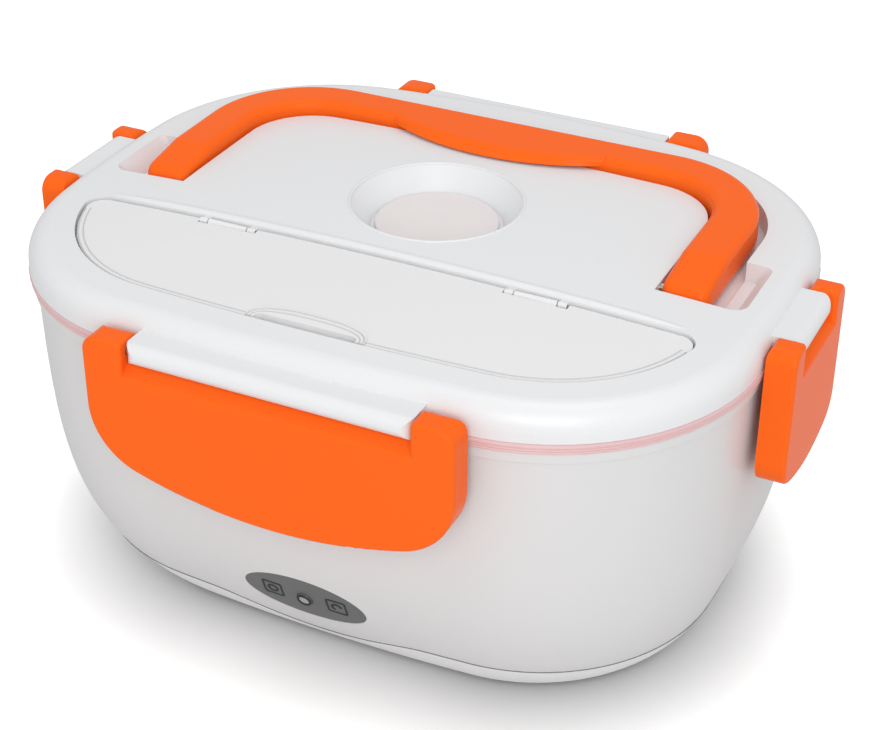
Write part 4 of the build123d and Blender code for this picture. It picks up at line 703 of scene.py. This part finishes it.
# ---------------------------------------------------------------- case
@dataclass
class IndicatorPanel:
    """Marks and lamp ring on the oval panel at the lower front."""

    shop: Workshop
    place: Vector = field(default_factory=lambda: Vector((0.0, -75.2 * MM, 27.0 * MM)))
    tilt: float = PANEL_TILT
    frame_half: float = 3.1 * MM
    frame_line: float = 0.6 * MM
    mark_x: float = 9.8 * MM
    mark_radius: float = 1.7 * MM
    mark_line: float = 0.75 * MM
    mark_sweeps: Span = (360.0, 250.0)
    ring_radius: float = 1.9 * MM
    ring_bead: float = 0.4 * MM
    rise: float = 0.12 * MM
    lens_slack: float = 0.12 * MM
    facets: int = 48

    def build(self) -> None:
        """Makes the printed frames, their marks and the lamp's ring."""
        ends = ((-self.mark_x, "left"), (self.mark_x, "right"))
        for x, name in ends:
            self._lay(self._square(x), f"panel_frame_{name}")
        for (x, name), sweep in zip(ends, self.mark_sweeps):
            self._lay(self._ring(x, sweep), f"panel_mark_{name}")
        lie = self._seat().to_3x3()
        middle = self._lens_face(lie @ Vector((0.0, 0.0, 1.0)))
        points = [middle + lie @ p.to_3d() for p in circle(self.ring_radius, self.facets)]
        ring = tube("panel_lamp_ring", points, self.ring_bead, closed=True)
        self.shop.adopt(ring, "base", "inlet_black", Finish.PRINT)

    def _lens_face(self, outward: Vector) -> Vector:
        """Middle of the lamp window's front face.

        Args:
            outward: the panel's outward direction.

        Returns:
            The point.
        """
        points = [v.co for v in self.shop.nodes["led_lens"].data.vertices]
        front = max(p.dot(outward) for p in points)
        face = [p for p in points if front - p.dot(outward) < self.lens_slack]
        low = Vector([min(p[axis] for p in face) for axis in range(3)])
        high = Vector([max(p[axis] for p in face) for axis in range(3)])
        return (low + high) / 2

    def dress(self) -> None:
        """Gives the panel's own nodes their finishes."""
        self.shop.dress({"indicator_panel": Finish.PANEL, "led_lens": Finish.LAMP, "led_board": Finish.BOARD})

    def _seat(self) -> Matrix:
        """From the panel's own plane to the part's frame."""
        turn = Matrix.Rotation(math.radians(90.0 + self.tilt), 4, "X")
        return Matrix.Translation(self.place) @ turn

    def _square(self, x: float) -> bpy.types.Object:
        """A flat square frame with cut corners.

        Args:
            x: its middle's place along the panel.

        Returns:
            The frame.
        """
        corner = self.frame_half / 4
        bpy.ops.object.select_all(action="DESELECT")
        bpy.ops.mesh.primitive_plane_add(size=2 * self.frame_half, location=(x, 0.0, 0.0))
        piece = bpy.context.active_object
        bpy.ops.object.mode_set(mode="EDIT")
        bpy.ops.mesh.select_all(action="SELECT")
        bpy.ops.mesh.bevel(offset=corner, segments=3, affect="VERTICES")
        bpy.ops.mesh.inset(thickness=self.frame_line)
        bpy.ops.mesh.delete(type="FACE")
        bpy.ops.mesh.select_all(action="SELECT")
        bpy.ops.mesh.subdivide(number_cuts=2)
        bpy.ops.object.mode_set(mode="OBJECT")
        return piece

    def _ring(self, x: float, sweep: float) -> bpy.types.Object:
        """A flat ring, or part of one.

        Args:
            x: its middle's place along the panel.
            sweep: how far it reaches round, in degrees.

        Returns:
            The ring.
        """
        bpy.ops.object.select_all(action="DESELECT")
        bpy.ops.mesh.primitive_circle_add(
            vertices=self.facets, radius=self.mark_radius, fill_type="NGON", location=(x, 0.0, 0.0))
        piece = bpy.context.active_object
        bpy.ops.object.mode_set(mode="EDIT")
        bpy.ops.mesh.select_all(action="SELECT")
        bpy.ops.mesh.inset(thickness=self.mark_line)
        bpy.ops.mesh.delete(type="FACE")
        bpy.ops.object.mode_set(mode="OBJECT")
        only(piece)
        for polygon in piece.data.polygons:
            turn = math.degrees(math.atan2(polygon.center.y, polygon.center.x)) % 360.0
            polygon.select = turn > sweep
        bpy.ops.object.mode_set(mode="EDIT")
        bpy.ops.mesh.select_mode(type="FACE")
        bpy.ops.mesh.delete(type="FACE")
        bpy.ops.object.mode_set(mode="OBJECT")
        return piece

    def _lay(self, piece: bpy.types.Object, name: str) -> None:
        """Lays a flat mark on the curved panel and gives it a thickness.

        Args:
            piece: the mark, in the panel's own plane.
            name: its final name.
        """
        only(piece)
        bpy.ops.object.transform_apply(location=True, rotation=True, scale=True)
        piece.matrix_world = self._seat()
        bpy.ops.object.transform_apply(location=True, rotation=True, scale=True)
        wrap = piece.modifiers.new("wrap", "SHRINKWRAP")
        wrap.target = self.shop.nodes["indicator_panel"]
        wrap.wrap_method = "NEAREST_SURFACEPOINT"
        wrap.wrap_mode = "ABOVE_SURFACE"
        wrap.offset = self.rise / 2
        wall = piece.modifiers.new("wall", "SOLIDIFY")
        wall.thickness = self.rise
        wall.offset = 0.0
        for modifier in (wrap.name, wall.name):
            bpy.ops.object.modifier_apply(modifier=modifier)
        self.shop.adopt(settle(piece, name), "base", "inlet_black", Finish.PRINT)


@dataclass
class Case:
    """Housing, bottom cover, well, feet and everything sealed between them."""

    shop: Workshop
    foot_x: float = 56.0 * MM
    foot_y: float = 34.0 * MM
    foot_ring_radius: float = 3.1 * MM
    foot_ring_bead: float = 0.45 * MM
    seam_z: float = 16.0 * MM
    seam_bead: float = 0.22 * MM
    seam_steps: int = 240
    lobe_half: float = 34.0 * MM
    lobe_drop: float = 6.5 * MM
    lobe_passes: int = 4
    clear_of_box: float = 300.0 * MM

    def build(self) -> None:
        """Makes the seam's dark line of painted shadow and the rings under the feet."""
        self._seam()
        for index, (x, y) in enumerate([(sx, sy) for sx in (-1, 1) for sy in (-1, 1)]):
            self._foot_ring(f"foot_ring_{index + 1}", x * self.foot_x, y * self.foot_y)

    def _seam(self) -> None:
        """Fine dark line of painted shadow where the housing meets the bottom cover, with the lobe under the
        panel.

        Rays find the wall from outside, and the height at the lobe settles in a few passes.
        """
        walls = [
            BVHTree.FromObject(self.shop.nodes[name], bpy.context.evaluated_depsgraph_get())
            for name in ("outer_housing", "bottom_cover")
        ]
        points = []
        for plan in circle(1.0, self.seam_steps):
            way = plan.to_3d()
            place = way * self.lobe_half
            for _ in range(self.lobe_passes):
                start = way * self.clear_of_box + Vector((0.0, 0.0, self.seam_z - self._lobe(place)))
                hits = [wall.ray_cast(start, -way)[0] for wall in walls]
                place = max((hit for hit in hits if hit), key=lambda hit: hit.xy.length)
            points.append(place)
        line = tube("seam_shadow_line", points, self.seam_bead, closed=True)
        self.shop.adopt(line, "base", "housing_white", Finish.SEAM)

    def _lobe(self, place: Vector) -> float:
        """How far the housing's lobe reaches below the seam.

        Args:
            place: a point on the wall.

        Returns:
            The drop there.
        """
        share = place.x / self.lobe_half
        if place.y > 0 or abs(share) > 1.0:
            return 0.0
        return self.lobe_drop * (1.0 - share**2) ** 2

    def _foot_ring(self, name: str, x: float, y: float) -> None:
        """A raised grip ring on the underside of one foot.

        Args:
            name: the ring's name.
            x: the foot's place along the box.
            y: its place across the box.
        """
        bead = self.foot_ring_bead
        bpy.ops.object.select_all(action="DESELECT")
        bpy.ops.mesh.primitive_torus_add(
            major_radius=self.foot_ring_radius, minor_radius=bead, major_segments=40, minor_segments=10,
            location=(x, y, bead))
        self.shop.adopt(settle(bpy.context.active_object, name), "base", "foot_rubber", Finish.FOOT)

    def dress(self) -> None:
        """Gives the base's nodes their finishes."""
        self.shop.dress({
            "outer_housing": Finish.CASE, "bottom_cover": Finish.SKIRT, "rubber_feet": Finish.FOOT,
            "cover_screws": Finish.SCREW, "inner_well": Finish.INNER, "heating_plate": Finish.PLATE,
            "plate_screws": Finish.SCREW, "ptc_heater": Finish.HEATER, "heater_strap": Finish.SCREW,
            "heater_screws": Finish.SCREW, "thermostat": Finish.RESIN, "thermal_fuse": Finish.FUSE,
            "fuse_saddle": Finish.FIBRE, "inlet_housing": Finish.BLACK, "inlet_pins": Finish.CONTACT,
            "inlet_screws": Finish.SCREW, "live_wire": Finish.RED, "fuse_link": Finish.RED,
            "heater_link": Finish.RED, "neutral_wire": Finish.BLUE, "panel_wires": Finish.YELLOW,
        })


@dataclass
class Contents:
    """Steel tray, side dish and spoon."""

    shop: Workshop
    tray_top: float = 90.0 * MM
    tray_inset: float = 11.9 * MM
    bead: float = 0.7 * MM

    def build(self) -> None:
        """Makes the rolled edge of the steel tray."""
        height = self.tray_top - self.bead
        points = [Vector((p.x, p.y, height)) for p in LID_PLAN.inset(self.tray_inset).loop()]
        edge = tube("tray_rolled_edge", points, self.bead, closed=True)
        self.shop.adopt(edge, "food_tray", "tray_steel", Finish.STEEL)

    def dress(self) -> None:
        """Gives the contents their finishes."""
        self.shop.dress({"food_tray": Finish.STEEL, "side_dish": Finish.INNER, "spoon": Finish.ORANGE})


# ---------------------------------------------------------------- lid
@dataclass
class Lid:
    """Lid shell with its liner, seal, steam plug, utensil cover and fine rims."""

    shop: Workshop
    vent_y: float = 7.7 * MM
    vent_radius: float = 24.6 * MM
    lip: float = 0.55 * MM
    lip_sink: float = 0.45
    lip_steps: int = 96
    ridge_y: float = -25.2 * MM
    ridge_half: float = 86.0 * MM
    ridge_bead: float = 1.7 * MM
    ridge_rise: float = 0.7 * MM
    ridge_steps: int = 60
    ridge_fullness: int = 10
    cover_edge: float = 13.8 * MM
    cover_sink: float = 0.7 * MM
    line_insets: Span = (0.3 * MM, 1.7 * MM)
    line_bead: float = 0.2 * MM
    line_back: float = -34.0 * MM
    line_steps: int = 36
    notch_half: float = 15.2 * MM
    arch_y: float = -69.0 * MM
    arch_sizes: tuple[Span, Span] = ((16.6 * MM, 6.4 * MM), (15.6 * MM, 4.9 * MM))
    arch_fullness: float = 0.77
    arch_steps: int = 48
    seal_z: float = 98.1 * MM
    seal_bead: float = 0.85 * MM
    seal_inset: float = 0.55 * MM
    rib_places: Span = (97.05 * MM, 96.3 * MM)
    rib_bead: float = 0.42 * MM
    rib_inset: float = 0.38 * MM

    def build(self) -> None:
        """Makes the vent's lip, the ridge behind the utensil cover, its fine lines of painted shade and the
        seal's beads.
        """
        self._vent_lip()
        self._cover_ridge()
        for index, inset in enumerate(self.line_insets):
            self._cover_shade_line(index + 1, inset)
        for index, (half, rise) in enumerate(self.arch_sizes):
            self._arch_shade_line(index + 1, half, rise)
        self._seal_ring("gasket_bead", self.seal_z, self.seal_bead, self.seal_inset)
        for index, height in enumerate(self.rib_places):
            self._seal_ring(f"gasket_rib_{index + 1}", height, self.rib_bead, self.rib_inset)

    def _seal_ring(self, name: str, height: float, bead: float, inset: float) -> None:
        """Round ring of the seal along the lid's outline.

        Args:
            name: the piece's name.
            height: its place above the table.
            bead: its radius.
            inset: how far it lies inside the lid's outline.
        """
        points = [Vector((p.x, p.y, height)) for p in LID_PLAN.inset(inset).loop()]
        self.shop.adopt(tube(name, points, bead, closed=True), "lid", "gasket_silicone", Finish.SEAL)

    def _cover_ridge(self) -> None:
        """Low round ridge on the lid behind the utensil cover, sinking away at both ends."""
        points = []
        for index in range(self.ridge_steps + 1):
            share = 2.0 * index / self.ridge_steps - 1.0
            x = share * self.ridge_half
            rise = self.ridge_rise * (1.0 - abs(share) ** self.ridge_fullness)
            points.append(Vector((x, self.ridge_y, DOME.height(x, self.ridge_y) - self.ridge_bead + rise)))
        ridge = tube("cover_ridge", points, self.ridge_bead, closed=False, facets=6)
        self.shop.adopt(ridge, "lid", "lid_white", Finish.LID)

    def _cover_shade_line(self, number: int, inset: float) -> None:
        """Fine grey line of painted shade along the utensil cover's curved edge, for its moulded groove, left
        out at the thumb notch.

        Args:
            number: the line's number, for its name.
            inset: how far it lies inside the cover's edge.
        """
        loop = LID_PLAN.inset(self.cover_edge + inset).loop(self.line_steps)
        edge = [p for p in loop if p.y < self.line_back]
        for name, side in (("left", -1), ("right", 1)):
            points = [DOME.over(p, self.cover_sink) for p in edge if side * p.x > self.notch_half]
            line = tube(f"cover_shade_line_{name}_{number}", points, self.line_bead, closed=False)
            self.shop.adopt(line, "utensil_cover", "cover_clear", Finish.LINE)

    def _arch_shade_line(self, number: int, half: float, rise: float) -> None:
        """Fine grey arc of painted shade along the cover's raised arch, over the thumb notch.

        Args:
            number: the arc's number, for its name.
            half: half its width along the box.
            rise: its height in plan.
        """
        points = []
        for index in range(self.arch_steps + 1):
            way = turned(1.0, math.pi * index / self.arch_steps)
            x = math.copysign(half * abs(way.x) ** self.arch_fullness, way.x)
            y = self.arch_y + rise * abs(way.y) ** self.arch_fullness
            points.append(DOME.over(Vector((x, y))))
        line = tube(f"cover_arch_shade_{number}", points, self.line_bead, closed=False)
        self.shop.adopt(line, "utensil_cover", "cover_clear", Finish.LINE)

    def _vent_lip(self) -> None:
        """Rounded lip of the vent well, sunk a share of its radius into the crown."""
        middle = Vector((0.0, self.vent_y))
        drop = Vector((0.0, 0.0, self.lip * self.lip_sink))
        points = [DOME.over(middle + p) - drop for p in circle(self.vent_radius, self.lip_steps)]
        self.shop.adopt(tube("vent_lip", points, self.lip, closed=True), "lid", "lid_white", Finish.LID)

    def dress(self) -> None:
        """Gives the lid's nodes their finishes."""
        self.shop.dress({
            "lid_shell": Finish.LID, "lid_liner": Finish.INNER, "lid_gasket": Finish.SEAL,
            "vent_plug": Finish.PLUG, "cover_pins": Finish.PIN, "handle_pins": Finish.PIN,
            "latch_pins": Finish.PIN, "utensil_cover": Finish.COVER,
        })


@dataclass
class HandleAndLatches:
    """Carrying handle and the four latches, which take no fine pieces."""

    shop: Workshop
    names: tuple[str, ...] = ("carry_handle", "latch_front", "latch_right", "latch_back", "latch_left")

    def dress(self) -> None:
        """Gives the orange nodes their finish."""
        self.shop.dress({name: Finish.ORANGE for name in self.names})


# ---------------------------------------------------------------- stage
@dataclass(frozen=True)
class Softbox:
    """A square soft lamp: its place and side in metres and its power in watts."""

    name: str
    place: Triple
    side: float
    power: float


@dataclass
class Studio:
    """Pale floor, soft light and the camera at the photograph's angle."""

    azimuth: float = 25.54
    elevation: float = 31.62
    roll: float = 0.28
    distance: float = 536.9 * MM
    right: float = 5.61 * MM
    up: float = -36.8 * MM
    target_z: float = 103.7 * MM
    focal_px: float = 1927.32
    width_px: float = 890.0
    sensor: float = 36.0
    nearest: float = 10.0 * MM
    # Shape, reach and grey of the contact shadow painted on the floor round the box's foot.
    foot_straight_x: float = 37.0 * MM
    foot_straight_y: float = 6.0 * MM
    foot_corner: float = 47.0 * MM
    shadow_reach: float = 38.0 * MM
    shadow_power: float = 0.8
    shadow_tone: float = 0.42
    floor_side: float = 12.0
    floor_cells: float = 3.0
    floor_tones: Span = (0.77, 0.78)
    floor_glow: float = 0.30
    sky_light: float = 0.66
    lamps: tuple[Softbox, ...] = (
        Softbox("key", place=(0.50, -1.05, 0.75), side=0.8, power=7.6),
        Softbox("top", place=(0.05, 0.20, 1.30), side=0.7, power=2.6),
    )
    aim_z: float = 50.0 * MM

    def build(self) -> None:
        """Makes the camera, the floor, the world and the lamps."""
        self._camera()
        self._floor()
        self._world()
        for lamp in self.lamps:
            self._lamp(lamp)

    def _camera(self) -> None:
        """Sets the camera by its angles round the box."""
        turn, rise, lean = (math.radians(v) for v in (self.azimuth, self.elevation, self.roll))
        back = Vector((math.sin(turn) * math.cos(rise), -math.cos(turn) * math.cos(rise), math.sin(rise)))
        level = Vector((math.cos(turn), math.sin(turn), 0.0))
        upright = back.cross(level)
        right = level * math.cos(lean) + upright * math.sin(lean)
        up = upright * math.cos(lean) - level * math.sin(lean)
        place = Vector((0.0, 0.0, self.target_z)) + back * self.distance + right * self.right + up * self.up
        data = bpy.data.cameras.new("camera")
        data.sensor_width = self.sensor
        data.lens = self.sensor * self.focal_px / self.width_px
        data.clip_start = self.nearest
        camera = bpy.data.objects.new("camera", data)
        bpy.context.scene.collection.objects.link(camera)
        lie = Matrix((right, up, back)).transposed()
        camera.matrix_world = Matrix.Translation(place) @ lie.to_4x4()
        bpy.context.scene.camera = camera

    def _floor(self) -> None:
        """A large pale floor that shows white to the camera and keeps the shadow, with a contact shadow
        painted round the box's foot.
        """
        bpy.ops.object.select_all(action="DESELECT")
        bpy.ops.mesh.primitive_plane_add(size=self.floor_side)
        floor = bpy.context.active_object
        floor.name = "floor"
        graph = Graph("floor_white")
        path = graph.node("ShaderNodeLightPath")
        seen = graph.math("MAXIMUM", path.outputs["Is Camera Ray"], path.outputs["Is Transmission Ray"])
        unseen_tone = graph.mix(graph.noise(self.floor_cells), *(grey(tone) for tone in self.floor_tones))
        painted_shadow = self._painted_shadow_mask(graph)
        # Painted shadow: the floor's camera-seen colour darkens to grey round the box's foot, and its glow
        # fades with it.
        seen_tone = graph.mix(painted_shadow, grey(self.shadow_tone), WHITE)
        matt = graph.node("ShaderNodeBsdfDiffuse", inputs={"Color": graph.mix(seen, unseen_tone, seen_tone)})
        light = {"Color": WHITE, "Strength": seen * painted_shadow * self.floor_glow}
        glow = graph.node("ShaderNodeEmission", inputs=light)
        both = graph.node("ShaderNodeAddShader", inputs={0: matt.outputs[0], 1: glow.outputs[0]})
        floor.data.materials.append(graph.close(both))

    def _painted_shadow_mask(self, graph: Graph) -> Val:
        """How far a floor point lies out of the contact shadow painted round the box's foot.

        Args:
            graph: the floor's tree.

        Returns:
            0 in the painted shadow to 1 outside it.
        """
        straights = (("X", self.foot_straight_x), ("Y", self.foot_straight_y))
        across, along = (
            graph.math("MAXIMUM", graph.math("ABSOLUTE", graph.place(axis)) - straight)
            for axis, straight in straights
        )
        reach = (self.foot_corner, self.foot_corner + self.shadow_reach)
        return graph.clamp(graph.length(across, along), reach) ** self.shadow_power

    def _world(self) -> None:
        """Soft grey light all round, shown as white to the camera."""
        world = bpy.data.worlds.new("studio")
        bpy.context.scene.world = world
        world.use_nodes = True
        tree = world.node_tree
        tree.nodes.clear()
        path = tree.nodes.new("ShaderNodeLightPath")
        seen = tree.nodes.new("ShaderNodeMath")
        seen.operation = "MAXIMUM"
        tree.links.new(path.outputs["Is Camera Ray"], seen.inputs[0])
        tree.links.new(path.outputs["Is Transmission Ray"], seen.inputs[1])
        level = tree.nodes.new("ShaderNodeMapRange")
        level.inputs["To Min"].default_value = self.sky_light
        level.inputs["To Max"].default_value = 1.0
        tree.links.new(seen.outputs[0], level.inputs["Value"])
        sky = tree.nodes.new("ShaderNodeBackground")
        sky.inputs["Color"].default_value = (*WHITE, 1.0)
        tree.links.new(level.outputs[0], sky.inputs["Strength"])
        out = tree.nodes.new("ShaderNodeOutputWorld")
        tree.links.new(sky.outputs[0], out.inputs["Surface"])

    def _lamp(self, box: Softbox) -> None:
        """Hangs a soft lamp that looks at the box.

        Args:
            box: the lamp.
        """
        data = bpy.data.lights.new(box.name, "AREA")
        data.size = box.side
        data.energy = box.power
        lamp = bpy.data.objects.new(box.name, data)
        bpy.context.scene.collection.objects.link(lamp)
        lamp.location = box.place
        aim = Vector((0.0, 0.0, self.aim_z)) - Vector(box.place)
        lamp.rotation_euler = aim.to_track_quat("-Z", "Y").to_euler()


def main() -> None:
    """Builds the box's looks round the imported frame."""
    logging.basicConfig(level=logging.INFO)
    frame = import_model()
    bpy.context.scene.view_settings.view_transform = "Standard"
    shop = Workshop(frame["nodes"], Palette())
    Studio().build()
    for part in (IndicatorPanel(shop), Case(shop), Contents(shop), Lid(shop)):
        part.build()
        part.dress()
    HandleAndLatches(shop).dress()
    for name in shop.made:
        LOG.info("made %s", name)


if __name__ == "__main__":
    main()
